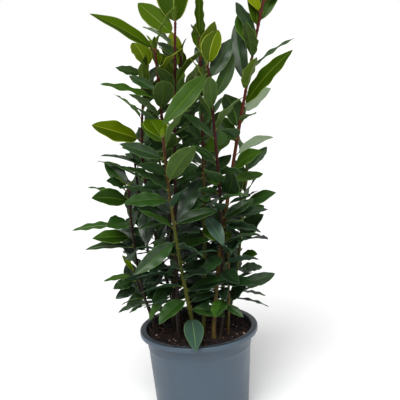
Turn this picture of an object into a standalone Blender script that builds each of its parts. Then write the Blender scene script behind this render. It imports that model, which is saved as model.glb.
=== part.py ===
# A bushy bay laurel in a plastic nursery pot: seventeen stems, each with its own leafy shoot.
# Metres, +Z up. The origin is the middle of the pot's flat underside.
# Headings are degrees round the pot: 0 is to the right, 90 to the back, 270 to the front.

import math
import random

import bmesh
import bpy
from mathutils import Vector
from mathutils.bvhtree import BVHTree

# Pot
POT_HEIGHT = 0.150
RIM_RADIUS = 0.095
LIP_WIDTH = 0.0085
LIP_DEPTH = 0.0075
BODY_TOP_RADIUS = 0.0843
BASE_RADIUS = 0.074
WALL = 0.0016
COLLAR_DROP = 0.028
COLLAR_STEP = 0.0008
FLOOR = 0.0025
FOOT_CHAMFER = 0.003
HOLE_COUNT = 8
HOLE_RADIUS = 0.006
HOLE_RING_RADIUS = 0.058
HOLE_STEPS = 12
POT_STEPS = 40

# Compost
SOIL_TOP = 0.141
SOIL_EDGE_DROP = 0.003
SOIL_LEVEL_RADIUS = 0.076
SOIL_STEPS = 32

# Between two pieces that touch
GAP = 0.0003

# Stems: foot, tip, how far the middle bows out of the straight line, how far up that bow is
# greatest, radius at the foot, height of the first leaf, height where the upper shoot starts
# (None where one shoot is all), leaf spacing and seed.
STEMS = {
    "left": dict(foot=(-0.034, 0.020), tip=(-0.055, 0.035, 0.562), bow=(-0.025, 0.000), knee=0.6,
                 girth=0.0026, leafy=0.185, split=0.400, spacing=0.017, seed=61),
    "mid_left": dict(foot=(-0.040, 0.005), tip=(-0.041, -0.005, 0.594), bow=(0.005, 0.000), knee=0.5,
                     girth=0.0034, leafy=0.200, split=0.415, spacing=0.017, seed=75),
    "front": dict(foot=(-0.006, -0.020), tip=(-0.035, -0.085, 0.470), bow=(-0.005, -0.005), knee=0.5,
                  girth=0.0033, leafy=0.171, split=0.325, spacing=0.017, seed=105),
    "mid_back": dict(foot=(-0.033, -0.042), tip=(-0.008, 0.010, 0.630), bow=(-0.003, 0.005), knee=0.5,
                     girth=0.0033, leafy=0.190, split=0.430, spacing=0.017, seed=86),
    "middle": dict(foot=(-0.016, 0.040), tip=(-0.003, 0.070, 0.578), bow=(0.000, 0.005), knee=0.5,
                   girth=0.0027, leafy=0.180, split=0.410, spacing=0.017, seed=43),
    "mid_right": dict(foot=(0.006, -0.020), tip=(0.027, 0.030, 0.605), bow=(0.004, -0.010), knee=0.4,
                      girth=0.0035, leafy=0.185, split=0.425, spacing=0.017, seed=107),
    "right": dict(foot=(0.032, -0.040), tip=(0.035, -0.050, 0.567), bow=(0.011, 0.014), knee=0.4,
                  girth=0.0031, leafy=0.190, split=0.410, spacing=0.017, seed=74),
    "right_tall": dict(foot=(0.023, -0.038), tip=(0.128, -0.010, 0.672), bow=(-0.010, 0.012), knee=0.4,
                       girth=0.0036, leafy=0.205, split=0.440, spacing=0.017, seed=66),
    "right_edge": dict(foot=(0.045, 0.010), tip=(0.078, 0.030, 0.358), bow=(0.009, 0.000), knee=0.6,
                      girth=0.0023, leafy=0.178, split=None, spacing=0.015, seed=17),
    "right_front": dict(foot=(0.046, -0.025), tip=(0.053, -0.020, 0.292), bow=(0.001, 0.000), knee=0.5,
                        girth=0.0018, leafy=0.180, split=None, spacing=0.015, seed=62),
    "left_edge": dict(foot=(-0.064, -0.005), tip=(-0.098, 0.020, 0.380), bow=(-0.012, 0.000), knee=0.4,
                     girth=0.0020, leafy=0.180, split=None, spacing=0.015, seed=43),
    "left_back": dict(foot=(-0.058, 0.040), tip=(-0.088, 0.060, 0.424), bow=(-0.005, 0.000), knee=0.5,
                      girth=0.0020, leafy=0.175, split=None, spacing=0.017, seed=97),
    "left_sucker": dict(foot=(-0.058, 0.018), tip=(-0.098, 0.005, 0.246), bow=(-0.006, 0.000), knee=0.5,
                        girth=0.0018, leafy=0.178, split=None, spacing=0.012, seed=114),
    "back": dict(foot=(0.012, 0.055), tip=(0.032, 0.100, 0.480), bow=(0.000, 0.008), knee=0.5,
                 girth=0.0028, leafy=0.175, split=0.335, spacing=0.017, seed=105),
    "back_left": dict(foot=(-0.028, 0.060), tip=(-0.050, 0.112, 0.440), bow=(-0.004, 0.008), knee=0.5,
                      girth=0.0026, leafy=0.172, split=None, spacing=0.017, seed=80),
    "back_right": dict(foot=(0.050, 0.042), tip=(0.096, 0.082, 0.410), bow=(0.006, 0.004), knee=0.5,
                       girth=0.0026, leafy=0.172, split=None, spacing=0.017, seed=21),
    "back_edge": dict(foot=(0.000, 0.066), tip=(0.006, 0.118, 0.320), bow=(0.000, 0.006), knee=0.5,
                     girth=0.0020, leafy=0.168, split=None, spacing=0.015, seed=31),
}
TIP_RADIUS = 0.0012
FLARE = 1.35
FLARE_HEIGHT = 0.010
FLARE_SECTIONS = (0.3, 1.0)
STEM_STEP = 0.045
GUARD_SIDES = 8

# Leaves that lead the crown's outline, by stem: height up the plant, heading, rise above level,
# length, width, and turn about the leaf's own length, which shows its face to the right side.
LEADERS = {
    "left": (
        (0.559, 118, 44, 0.064, 0.033, 0),
        (0.551, 180, 19, 0.050, 0.020, -40),
        (0.451, 200, 24, 0.084, 0.037, -50),
        (0.387, 182, 27, 0.082, 0.018, 0),
        (0.349, 265, -45, 0.075, 0.030, 0),
    ),
    "mid_left": (
        (0.590, 209, 32, 0.114, 0.031, -50),
        (0.586, 304, 49, 0.085, 0.012, 35),
        (0.527, 158, 29, 0.056, 0.020, -30),
        (0.514, 190, 20, 0.094, 0.018, -25),
    ),
    "front": (
        (0.465, 111, 28, 0.060, 0.036, 0),
        (0.437, 206, 25, 0.075, 0.023, -50),
        (0.418, 41, 37, 0.054, 0.018, 20),
        (0.375, 218, 7, 0.082, 0.024, -45),
        (0.311, 218, -23, 0.088, 0.024, -50),
        (0.210, 229, -16, 0.070, 0.026, -20),
        (0.174, 273, -12, 0.090, 0.030, 0),
    ),
    "mid_back": (
        (0.622, 65, 71, 0.098, 0.056, 0),
        (0.608, 145, 39, 0.085, 0.032, -45),
        (0.592, 156, 34, 0.062, 0.036, 10),
        (0.575, 133, 38, 0.045, 0.024, 0),
    ),
    "middle": (
        (0.539, 87, 56, 0.062, 0.018, 30),
    ),
    "mid_right": (
        (0.600, 75, 74, 0.084, 0.016, 45),
        (0.555, 70, 54, 0.060, 0.028, 0),
        (0.446, 101, 49, 0.048, 0.032, 0),
        (0.436, 166, 34, 0.064, 0.026, 50),
        (0.408, 176, 26, 0.046, 0.012, 0),
        (0.396, 234, -37, 0.095, 0.024, -30),
        (0.335, 297, -32, 0.068, 0.022, 20),
        (0.322, 290, -23, 0.045, 0.020, 10),
        (0.292, 199, -8, 0.042, 0.010, 0),
        (0.252, 181, 1, 0.030, 0.012, -20),
    ),
    "right": (
        (0.562, 50, 62, 0.061, 0.030, 20),
        (0.556, 209, -40, 0.105, 0.028, -50),
        (0.543, 41, 51, 0.076, 0.026, 40),
        (0.512, 30, 58, 0.080, 0.020, 60),
        (0.425, 208, 33, 0.050, 0.012, 0),
    ),
    "right_tall": (
        (0.648, 40, 35, 0.060, 0.024, 40),
        (0.619, 42, 50, 0.078, 0.022, 40),
        (0.611, 96, 64, 0.080, 0.026, 0),
        (0.595, 122, 53, 0.074, 0.024, 0),
        (0.551, 20, 30, 0.090, 0.016, 0),
        (0.530, 102, 64, 0.106, 0.026, -30),
        (0.499, 333, 45, 0.116, 0.025, 75),
        (0.490, 29, 30, 0.064, 0.034, -60),
        (0.462, 114, 56, 0.068, 0.038, 0),
        (0.426, 24, 17, 0.072, 0.026, -50),
        (0.403, 331, 32, 0.060, 0.028, 50),
        (0.385, 25, 6, 0.060, 0.020, 30),
        (0.362, 285, 56, 0.055, 0.034, 135),
    ),
    "right_edge": (
        (0.343, 2, 31, 0.034, 0.012, 0),
        (0.333, 334, 27, 0.066, 0.032, 30),
        (0.314, 32, 19, 0.050, 0.022, 30),
        (0.280, 320, 47, 0.068, 0.036, 65),
        (0.253, 309, 18, 0.046, 0.022, 40),
        (0.233, 28, -5, 0.050, 0.020, 30),
        (0.207, 20, 7, 0.076, 0.022, 50),
        (0.194, 2, 14, 0.042, 0.010, 0),
        (0.188, 14, -21, 0.068, 0.014, 0),
    ),
    "right_front": (
        (0.195, 328, 49, 0.060, 0.030, 50),
    ),
    "left_edge": (
        (0.376, 146, 44, 0.062, 0.026, -40),
        (0.371, 216, 36, 0.046, 0.028, -30),
        (0.362, 168, 17, 0.070, 0.016, 0),
        (0.358, 215, 14, 0.068, 0.030, -60),
        (0.325, 226, 4, 0.050, 0.032, -30),
        (0.318, 188, 2, 0.093, 0.020, -15),
        (0.300, 205, 8, 0.068, 0.026, -45),
        (0.284, 187, 3, 0.078, 0.022, -15),
    ),
    "left_back": (
        (0.207, 212, -21, 0.060, 0.020, -40),
    ),
    "left_sucker": (
        (0.238, 188, -3, 0.051, 0.014, -20),
        (0.230, 219, -3, 0.046, 0.020, -40),
        (0.218, 218, -8, 0.046, 0.018, -40),
        (0.190, 165, -20, 0.040, 0.012, 0),
        (0.187, 217, -10, 0.036, 0.010, 0),
    ),
}

# The rule for the other leaves
TURN_BETWEEN_LEAVES = 137.5
TURN_SPREAD = 18
LOW_RISE = -8
TOP_RISE = 64
RISE_CURVE = 1.6
LOW_SPREAD = 25
TOP_SPREAD = 10
MOST_TURN = 40
LOW_LENGTH = 0.062
TOP_LENGTH = 0.074
LENGTH_SPREAD = (0.78, 1.15)
SLENDERNESS = (0.32, 0.42)
LOW_SPACING = 0.45
SPACING_SPREAD = (0.8, 1.2)
END_MARGIN = 0.004
REACH = 0.140
LOWEST_TIP = 0.160
FRONT_LIFT = 0.35
CROWN_MIDDLE = (-0.008, 0.015)
LEADER_SPACE = 0.008
TRIES = ((0, 1.0), (35, 1.0), (-35, 1.0), (75, 0.9), (-75, 0.9),
         (120, 0.75), (-120, 0.75), (180, 0.65))

# One leaf
STALK = 0.009
STALK_HALF_WIDTH = 0.0011
STALK_KEEL = 1.6
LEAF_THICKNESS = 0.018
LEAF_ARCH = 0.05
BLADE_STATIONS = ((0.36, 1.0), (0.70, 0.88))
CLEARANCE = 0.0012
POT_CLEARANCE = 0.004
SISTER_SPACE = 0.010
BELOW_CUT = 0.008
ABOVE_CUT = 0.004

COLOURS = {
    "pot": (0.098, 0.133, 0.174, 0.45),
    "soil": (0.016, 0.011, 0.009, 0.95),
    "stem": (0.100, 0.050, 0.024, 0.60),
    "leaf": (0.050, 0.120, 0.022, 0.42),
}


def material(name):
    """A plain finish: colour and roughness."""
    red, green, blue, roughness = COLOURS[name]
    finish = bpy.data.materials.new(name)
    finish.use_nodes = True
    shader = finish.node_tree.nodes["Principled BSDF"]
    shader.inputs["Base Color"].default_value = (red, green, blue, 1)
    shader.inputs["Roughness"].default_value = roughness
    shader.inputs["Metallic"].default_value = 0
    return finish


def collection(name):
    group = bpy.data.collections.new(name)
    bpy.context.scene.collection.children.link(group)
    return group


def object_from(bm, name, group, finish):
    """Turns a bmesh into an object, its faces pointing out."""
    bmesh.ops.recalc_face_normals(bm, faces=bm.faces)
    mesh = bpy.data.meshes.new(name)
    bm.to_mesh(mesh)
    bm.free()
    if finish:
        mesh.materials.append(finish)
    obj = bpy.data.objects.new(name, mesh)
    group.objects.link(obj)
    return obj


def turned(name, profile, steps, group, finish):
    """Spins a profile of (radius, height) points about +Z, from axis to axis."""
    mesh = bpy.data.meshes.new(name)
    edges = [(i, i + 1) for i in range(len(profile) - 1)]
    mesh.from_pydata([(radius, 0, height) for radius, height in profile], edges, [])
    mesh.materials.append(finish)
    obj = bpy.data.objects.new(name, mesh)
    group.objects.link(obj)
    screw = obj.modifiers.new("Turn", "SCREW")
    screw.steps = steps
    screw.render_steps = steps
    screw.use_merge_vertices = True
    screw.merge_threshold = 0.0001
    screw.use_smooth_shade = True
    return obj


def pot_outer_radius(height):
    """The pot's slanting side, from its base to the underside of the lip."""
    return BASE_RADIUS + (BODY_TOP_RADIUS - BASE_RADIUS) * height / (POT_HEIGHT - LIP_DEPTH)


def make_pot(group, cutters):
    """Thin-walled pot: rolled lip, a slight collar under it, flat underside with drain holes."""
    lip_bottom = POT_HEIGHT - LIP_DEPTH
    inner_rim = RIM_RADIUS - LIP_WIDTH
    collar_bottom = POT_HEIGHT - COLLAR_DROP
    profile = [
        (0, FLOOR),
        (BASE_RADIUS - WALL - FOOT_CHAMFER, FLOOR),
        (pot_outer_radius(FLOOR + FOOT_CHAMFER) - WALL, FLOOR + FOOT_CHAMFER),
        (pot_outer_radius(collar_bottom) - WALL, collar_bottom),
        (inner_rim - WALL, lip_bottom),
        (inner_rim - WALL, POT_HEIGHT - WALL),
        (inner_rim, POT_HEIGHT),
        (RIM_RADIUS - WALL, POT_HEIGHT),
        (RIM_RADIUS, POT_HEIGHT - WALL),
        (RIM_RADIUS, lip_bottom),
        (RIM_RADIUS - WALL, lip_bottom),
        (RIM_RADIUS - WALL, POT_HEIGHT - 2 * WALL),
        (inner_rim, POT_HEIGHT - 2 * WALL),
        (pot_outer_radius(lip_bottom) + COLLAR_STEP, lip_bottom - WALL),
        (pot_outer_radius(collar_bottom) + COLLAR_STEP, collar_bottom),
        (pot_outer_radius(collar_bottom), collar_bottom - COLLAR_STEP),
        (pot_outer_radius(FOOT_CHAMFER), FOOT_CHAMFER),
        (BASE_RADIUS - FOOT_CHAMFER, 0),
        (0, 0),
    ]
    pot = turned("pot", profile, POT_STEPS, group, material("pot"))
    for number in range(HOLE_COUNT):
        angle = math.radians(360 / HOLE_COUNT * (number + 0.5))
        bm = bmesh.new()
        bmesh.ops.create_cone(bm, segments=HOLE_STEPS, radius1=HOLE_RADIUS, radius2=HOLE_RADIUS,
                              depth=4 * FLOOR, cap_ends=True)
        cutter = object_from(bm, f"drain_cutter_{number + 1}", cutters, None)
        cutter.location = (HOLE_RING_RADIUS * math.cos(angle), HOLE_RING_RADIUS * math.sin(angle), FLOOR / 2)
        cutter.hide_render = True
        cutter.display_type = "WIRE"
    drain = pot.modifiers.new("Drain holes", "BOOLEAN")
    drain.operation = "DIFFERENCE"
    drain.operand_type = "COLLECTION"
    drain.collection = cutters


def make_soil(group):
    """The pot's fill of compost, level where the stems stand and a little lower at its edge."""
    collar_bottom = POT_HEIGHT - COLLAR_DROP
    skin = WALL + GAP
    edge_height = SOIL_TOP - SOIL_EDGE_DROP
    inner_rim = RIM_RADIUS - LIP_WIDTH
    lip_bottom = POT_HEIGHT - LIP_DEPTH
    collar_radius = pot_outer_radius(collar_bottom) - skin
    share = (edge_height - collar_bottom) / (lip_bottom - collar_bottom)
    edge_radius = collar_radius + (inner_rim - skin - collar_radius) * share
    profile = [
        (0, SOIL_TOP),
        (SOIL_LEVEL_RADIUS, SOIL_TOP),
        (edge_radius, edge_height),
        (collar_radius, collar_bottom),
        (pot_outer_radius(FLOOR + FOOT_CHAMFER) - skin, FLOOR + FOOT_CHAMFER + GAP),
        (BASE_RADIUS - FOOT_CHAMFER - skin, FLOOR + GAP),
        (0, FLOOR + GAP),
    ]
    turned("soil", profile, SOIL_STEPS, group, material("soil"))


def stem_point(stem, height):
    """The stem's middle line at a height: a straight lean plus a bow."""
    share = (height - SOIL_TOP) / (stem["tip"][2] - SOIL_TOP)
    bent = max(share, 0) ** (math.log(0.5) / math.log(stem["knee"]))
    bow = 4 * bent * (1 - bent)
    across = [foot + (tip - foot) * share + out * bow
              for foot, tip, out in zip(stem["foot"], stem["tip"], stem["bow"])]
    return Vector((across[0], across[1], height))


def stem_radius(stem, height):
    """True taper from the foot to the tip, with a flare at the soil."""
    share = (height - SOIL_TOP) / (stem["tip"][2] - SOIL_TOP)
    radius = stem["girth"] + (TIP_RADIUS - stem["girth"]) * share
    if height < SOIL_TOP + FLARE_HEIGHT:
        radius *= 1 + (FLARE - 1) * (1 - (height - SOIL_TOP) / FLARE_HEIGHT) ** 2
    return radius


def heights_between(low, high, grounded):
    """Heights for the sections of a stem, close together at a flared foot and at each cut end."""
    count = max(2, round((high - low) / STEM_STEP))
    heights = [low + (high - low) * i / count for i in range(count + 1)]
    if grounded:
        heights[1:1] = [low + FLARE_HEIGHT * share for share in FLARE_SECTIONS]
    return heights


def tube(name, stem, heights, group, finish, grounded):
    """A tapering limb with flat ends, swept along the stem's middle line: rounder where it is bare."""
    curve = bpy.data.curves.new(name, "CURVE")
    curve.dimensions = "3D"
    curve.bevel_depth = 1
    curve.bevel_resolution = 1 if grounded else 0
    curve.use_fill_caps = True
    spline = curve.splines.new("POLY")
    spline.points.add(len(heights) - 1)
    for point, height in zip(spline.points, heights):
        point.co = (*stem_point(stem, height), 1)
        point.radius = stem_radius(stem, height)
    if grounded:
        spline.points[0].co[0:2] = spline.points[1].co[0:2]
    guide = bpy.data.objects.new(name, curve)
    group.objects.link(guide)
    bpy.context.view_layer.update()
    graph = bpy.context.evaluated_depsgraph_get()
    mesh = bpy.data.meshes.new_from_object(guide.evaluated_get(graph))
    bpy.data.objects.remove(guide)
    bm = bmesh.new()
    bm.from_mesh(mesh)
    bpy.data.meshes.remove(mesh)
    bmesh.ops.remove_doubles(bm, verts=bm.verts, dist=0.00001)
    return object_from(bm, name, group, finish)


def leaf_frame(heading, rise, turn):
    """Three directions of a leaf: along it, to its side, and out of its upper face."""
    heading, rise, turn = (math.radians(angle) for angle in (heading, rise, turn))
    along = Vector((math.cos(rise) * math.cos(heading), math.cos(rise) * math.sin(heading), math.sin(rise)))
    level = Vector((math.sin(heading), -math.cos(heading), 0))
    upper = Vector((-math.sin(rise) * math.cos(heading), -math.sin(rise) * math.sin(heading),
                    math.cos(rise)))
    face = upper * math.cos(turn) + level * math.sin(turn)
    return along, along.cross(face), face


def leaf_stations(leaf, start=0.0):
    """Distance from the root, half width and depth of keel of each section, from a start outwards."""
    length, full = leaf["length"], leaf["width"] / 2
    stations = [(0, STALK_HALF_WIDTH, STALK_HALF_WIDTH * STALK_KEEL)]
    if leaf["stalked"]:
        stations.append((STALK, *stations[0][1:]))
    stations += [(length * share, full * fullness, length * LEAF_THICKNESS)
                 for share, fullness in BLADE_STATIONS]
    if start:
        outer = next(index for index, station in enumerate(stations) if station[0] > start)
        inner = stations[outer - 1]
        share = (start - inner[0]) / (stations[outer][0] - inner[0])
        cut = tuple(a + (b - a) * share for a, b in zip(inner, stations[outer]))
        stations = [cut] + stations[outer:]
    return stations


def leaf_rings(leaf, start=0.0, clearance=0.0):
    """Three-cornered sections of a leaf, two edges and a keel, from its root to its tip."""
    along, side, face = leaf["frame"]
    length = leaf["length"]
    rings = []
    for distance, half, keel in leaf_stations(leaf, start):
        share = distance / length
        middle = leaf["root"] + along * distance + face * (LEAF_ARCH * length * 4 * share * (1 - share))
        rings.append([middle + side * (half + clearance) + face * clearance,
                      middle - side * (half + clearance) + face * clearance,
                      middle - face * (keel + clearance)])
    return rings, leaf["root"] + along * (length + clearance)


def leaf_faces(ring_count):
    """Faces that join the rings: a cap at the root, three sides between rings, a point at the tip."""
    faces = [(2, 1, 0)]
    for ring in range(ring_count - 1):
        for corner in range(3):
            first, second = ring * 3 + corner, ring * 3 + (corner + 1) % 3
            faces.append((first, second, second + 3, first + 3))
    last = (ring_count - 1) * 3
    faces += [(last + corner, last + (corner + 1) % 3, last + 3) for corner in range(3)]
    return faces


def leaf_shape(leaf, start=0.0, clearance=0.0):
    """Points and faces of one leaf."""
    rings, tip = leaf_rings(leaf, start, clearance)
    return [point for ring in rings for point in ring] + [tip], leaf_faces(len(rings))


def guard(points, faces, stem, height=None):
    """A shape that other leaves keep clear of, with its box for a quick first look."""
    low = [min(point[axis] for point in points) for axis in range(3)]
    high = [max(point[axis] for point in points) for axis in range(3)]
    return dict(tree=BVHTree.FromPolygons(points, faces), low=low, high=high, stem=stem, height=height)


def stem_guard(name):
    """The whole stem as a coarse eight-sided rod, a little fatter than the stem."""
    stem = STEMS[name]
    count = max(3, round((stem["tip"][2] - SOIL_TOP) / STEM_STEP))
    points, faces = [], []
    for ring in range(count + 1):
        height = SOIL_TOP + (stem["tip"][2] - SOIL_TOP) * ring / count
        middle, radius = stem_point(stem, height), stem_radius(stem, height) + CLEARANCE
        for corner in range(GUARD_SIDES):
            angle = 2 * math.pi * corner / GUARD_SIDES
            points.append(middle + Vector((radius * math.cos(angle), radius * math.sin(angle), 0)))
    for ring in range(count):
        for corner in range(GUARD_SIDES):
            first, second = ring * GUARD_SIDES + corner, ring * GUARD_SIDES + (corner + 1) % GUARD_SIDES
            faces.append((first, second, second + GUARD_SIDES, first + GUARD_SIDES))
    return guard(points, faces, name)


def above_the_pot(points):
    """True where no point dips into the compost or onto the pot's rim."""
    for point in points:
        radius = math.hypot(point[0], point[1])
        floor = POT_HEIGHT if radius < RIM_RADIUS + POT_CLEARANCE else 0
        if point[2] < floor + POT_CLEARANCE:
            return False
    return True


def grows_beside(leaf, other):
    """True for the leaf's own stem and for a leaf that springs from it at nearly the same height."""
    if other["stem"] != leaf["stem"]:
        return False
    return other["height"] is None or abs(other["height"] - leaf["root"].z) < SISTER_SPACE


def meet(one, other):
    apart = any(one["low"][axis] > other["high"][axis] or one["high"][axis] < other["low"][axis]
                for axis in range(3))
    return not apart and bool(one["tree"].overlap(other["tree"]))


def fits(leaf, taken):
    """True where the leaf stays clear of the pot, of every stem and of every leaf so far."""
    points, faces = leaf_shape(leaf, STALK)
    if not above_the_pot(points):
        return False
    blade = [guard(points, faces, leaf["stem"])]
    whole = [guard(*leaf_shape(leaf, clearance=spare), leaf["stem"]) for spare in (CLEARANCE, 0)]
    for other in taken:
        if any(meet(mine, other) for mine in (blade if grows_beside(leaf, other) else whole)):
            return False
    return True


def clear_of_cuts(stem, height):
    """Moves a leaf's root away from the places where the stem is cut."""
    for cut in (stem["leafy"], stem["split"]):
        if cut and -BELOW_CUT < height - cut < ABOVE_CUT:
            return cut + ABOVE_CUT
    return height


def make_leaf(name, height, heading, rise, length, width, turn, stalked=False):
    height = clear_of_cuts(STEMS[name], height)
    return dict(stem=name, root=stem_point(STEMS[name], height), length=length, width=width,
                frame=leaf_frame(heading, rise, turn), stalked=stalked)


def keep(leaf, leaves, taken):
    leaves.append(leaf)
    taken.append(guard(*leaf_shape(leaf), leaf["stem"], leaf["root"].z))


def leading_leaves(leaves, taken):
    for name, rows in LEADERS.items():
        for row in rows:
            leaf = make_leaf(name, *row, stalked=True)
            if fits(leaf, taken):
                keep(leaf, leaves, taken)


def within_reach(leaf):
    """True where the leaf's tip stays inside the crown and keeps the compost in view at the front."""
    tip = leaf["root"] + leaf["frame"][0] * leaf["length"]
    if tip.z < LOWEST_TIP + FRONT_LIFT * max(-tip.y, 0):
        return False
    return math.hypot(tip.x - CROWN_MIDDLE[0], tip.y - CROWN_MIDDLE[1]) < REACH


def filling_leaves(name, leaves, taken):
    """Leaves in a spiral up one stem, steeper and longer to the top, where there is room for them."""
    stem = STEMS[name]
    rng = random.Random(stem["seed"])
    leader_heights = [row[0] for row in LEADERS.get(name, ())]
    height = stem["leafy"] + END_MARGIN
    heading = rng.uniform(0, 360)
    while height < stem["tip"][2] - END_MARGIN:
        share = (height - SOIL_TOP) / (stem["tip"][2] - SOIL_TOP)
        heading += TURN_BETWEEN_LEAVES + rng.uniform(-TURN_SPREAD, TURN_SPREAD)
        spread = LOW_SPREAD + (TOP_SPREAD - LOW_SPREAD) * share
        rise = LOW_RISE + (TOP_RISE - LOW_RISE) * share ** RISE_CURVE + rng.uniform(-spread, spread)
        length = (LOW_LENGTH + (TOP_LENGTH - LOW_LENGTH) * share) * rng.uniform(*LENGTH_SPREAD)
        width = length * rng.uniform(*SLENDERNESS)
        turn = rng.uniform(-MOST_TURN, MOST_TURN)
        step = stem["spacing"] * (LOW_SPACING + (1 - LOW_SPACING) * share) * rng.uniform(*SPACING_SPREAD)
        if min((abs(height - other) for other in leader_heights), default=1) > LEADER_SPACE:
            for aside, size in TRIES:
                leaf = make_leaf(name, height, heading + aside, rise, length * size, width * size, turn)
                if within_reach(leaf) and fits(leaf, taken):
                    keep(leaf, leaves, taken)
                    break
        height += step


def grow_leaves():
    """Every leaf of the plant, each a root point, a frame, a length and a width."""
    leaves = []
    taken = [stem_guard(name) for name in STEMS]
    leading_leaves(leaves, taken)
    for name in STEMS:
        filling_leaves(name, leaves, taken)
    return leaves


def make_shoot(name, stem, low, high, leaves, group, finish):
    """One mass of foliage: a length of stem with its leaves fused on."""
    limb = tube(name, stem, heights_between(low, high, False), group, finish, False)
    blades = collection(f"{name}_leaves")
    for number, leaf in enumerate(leaves):
        points, faces = leaf_shape(leaf)
        bm = bmesh.new()
        corners = [bm.verts.new(point) for point in points]
        for face in faces:
            bm.faces.new([corners[index] for index in face])
        object_from(bm, f"{name}_leaf_{number}", blades, None)
    fuse = limb.modifiers.new("Fuse leaves", "BOOLEAN")
    fuse.operation = "UNION"
    fuse.solver = "MANIFOLD"
    fuse.operand_type = "COLLECTION"
    fuse.collection = blades
    bpy.context.view_layer.objects.active = limb
    bpy.ops.object.modifier_apply(modifier=fuse.name)
    for blade in list(blades.objects):
        bpy.data.objects.remove(blade)
    bpy.data.collections.remove(blades)


def make_plant(group):
    """Bare stems out of the compost, each with its leafy shoots above."""
    bark = material("stem")
    green = material("leaf")
    leaves = grow_leaves()
    for name, stem in STEMS.items():
        cuts = [stem["leafy"], stem["tip"][2]]
        shoot_names = [f"foliage_{name}"]
        if stem["split"]:
            cuts.insert(1, stem["split"])
            shoot_names = [f"foliage_{name}_lower", f"foliage_{name}_upper"]
        bare = heights_between(SOIL_TOP + GAP, cuts[0] - GAP, True)
        tube(f"stem_{name}", stem, bare, group, bark, True)
        for shoot_name, low, high in zip(shoot_names, cuts, cuts[1:]):
            own = [leaf for leaf in leaves if leaf["stem"] == name and low < leaf["root"].z <= high]
            top = high if high == cuts[-1] else high - GAP
            make_shoot(shoot_name, stem, low, top, own, group, green)


def main():
    for old in list(bpy.data.objects):
        bpy.data.objects.remove(old)
    group = collection("Potted bay laurel")
    cutters = collection("Cutters")
    make_pot(group, cutters)
    make_soil(group)
    make_plant(group)


main()
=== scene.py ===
# Bay laurel in a nursery pot: fine leaves, bark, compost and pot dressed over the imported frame.
# Metres, +Z up, the viewer of the photo stands at -Y. Headings are degrees: 0 right, 90 back, 270 front.
import math
import random

import bpy
import numpy as np
from mathutils import Matrix, Vector
from mathutils.bvhtree import BVHTree


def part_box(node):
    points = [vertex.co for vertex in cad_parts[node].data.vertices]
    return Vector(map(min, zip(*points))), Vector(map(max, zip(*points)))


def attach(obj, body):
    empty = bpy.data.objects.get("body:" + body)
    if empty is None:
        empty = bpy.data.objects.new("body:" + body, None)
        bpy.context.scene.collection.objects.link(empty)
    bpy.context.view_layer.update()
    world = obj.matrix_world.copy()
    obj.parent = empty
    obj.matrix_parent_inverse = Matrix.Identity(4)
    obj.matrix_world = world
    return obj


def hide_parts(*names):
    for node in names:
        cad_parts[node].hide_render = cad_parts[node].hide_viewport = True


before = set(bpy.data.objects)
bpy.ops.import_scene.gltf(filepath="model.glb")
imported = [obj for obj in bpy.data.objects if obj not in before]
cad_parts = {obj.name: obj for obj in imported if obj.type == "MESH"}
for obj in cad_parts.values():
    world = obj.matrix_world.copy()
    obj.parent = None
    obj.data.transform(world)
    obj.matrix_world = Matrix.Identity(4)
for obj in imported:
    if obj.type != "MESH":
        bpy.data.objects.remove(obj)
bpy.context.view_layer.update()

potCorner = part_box("pot")[1]      # its greatest x, y and z
potHeight = potCorner.z
rimRadius = potCorner.x
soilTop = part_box("soil")[1].z
print("frame loaded, the pot is", round(potHeight * 1000), "mm high")


# Camera

camera = {
    "distance": 1.2,      # metres in front of the pot's middle
    "height": 0.6236,     # about the level of the second shoot tips
    "pitch": 12.53,       # degrees down
    "yaw": 0.65,          # degrees to the right
    "roll": -3.28,        # the photo is turned a little
    "focal": 786.7,       # in the photo's pixels
    "photoWidth": 400,
    "sensor": 36,         # millimetres
}


def makeCamera(c):
    yaw, pitch, roll = (math.radians(c[k]) for k in ("yaw", "pitch", "roll"))
    forward = Vector((math.sin(yaw) * math.cos(pitch), math.cos(yaw) * math.cos(pitch), -math.sin(pitch)))
    right = Vector((math.cos(yaw), -math.sin(yaw), 0))
    up = right.cross(forward)
    turnedRight = right * math.cos(roll) + up * math.sin(roll)
    turnedUp = up * math.cos(roll) - right * math.sin(roll)
    place = Matrix((turnedRight, turnedUp, -forward)).transposed().to_4x4()
    place.translation = (0, -c["distance"], c["height"])
    bpy.ops.object.camera_add()
    cam = bpy.context.object
    cam.matrix_world = place
    cam.data.sensor_width = c["sensor"]
    cam.data.lens = c["focal"] / c["photoWidth"] * c["sensor"]
    bpy.context.scene.camera = cam


makeCamera(camera)
print("camera placed")


# Materials

def srgb(code, shade=(1, 1, 1)):
    # a hex colour as typed, turned to the linear numbers that Blender wants and shaded part by part
    parts = [int(code[i:i + 2], 16) / 255 for i in (1, 3, 5)]
    linear = [p / 12.92 if p <= 0.04045 else ((p + 0.055) / 1.055) ** 2.4 for p in parts]
    return tuple(min(1, p * s) for p, s in zip(linear, shade)) + (1,)


def addNode(tree, kind, settings=None, values=None, links=None, stops=()):
    # one node: its settings, its socket values, links from other nodes' outputs, and a ramp's colours
    node = tree.nodes.new(kind)
    for key, value in (settings or {}).items():
        setattr(node, key, value)
    for key, value in (values or {}).items():
        node.inputs[key].default_value = value
    for key, (other, output) in (links or {}).items():
        tree.links.new(other.outputs[output], node.inputs[key])
    for place, code in stops[2:]:
        node.color_ramp.elements.new(place)
    for number, (place, code) in enumerate(stops):
        node.color_ramp.elements[number].position = place
        node.color_ramp.elements[number].color = srgb(code)
    return node


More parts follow.
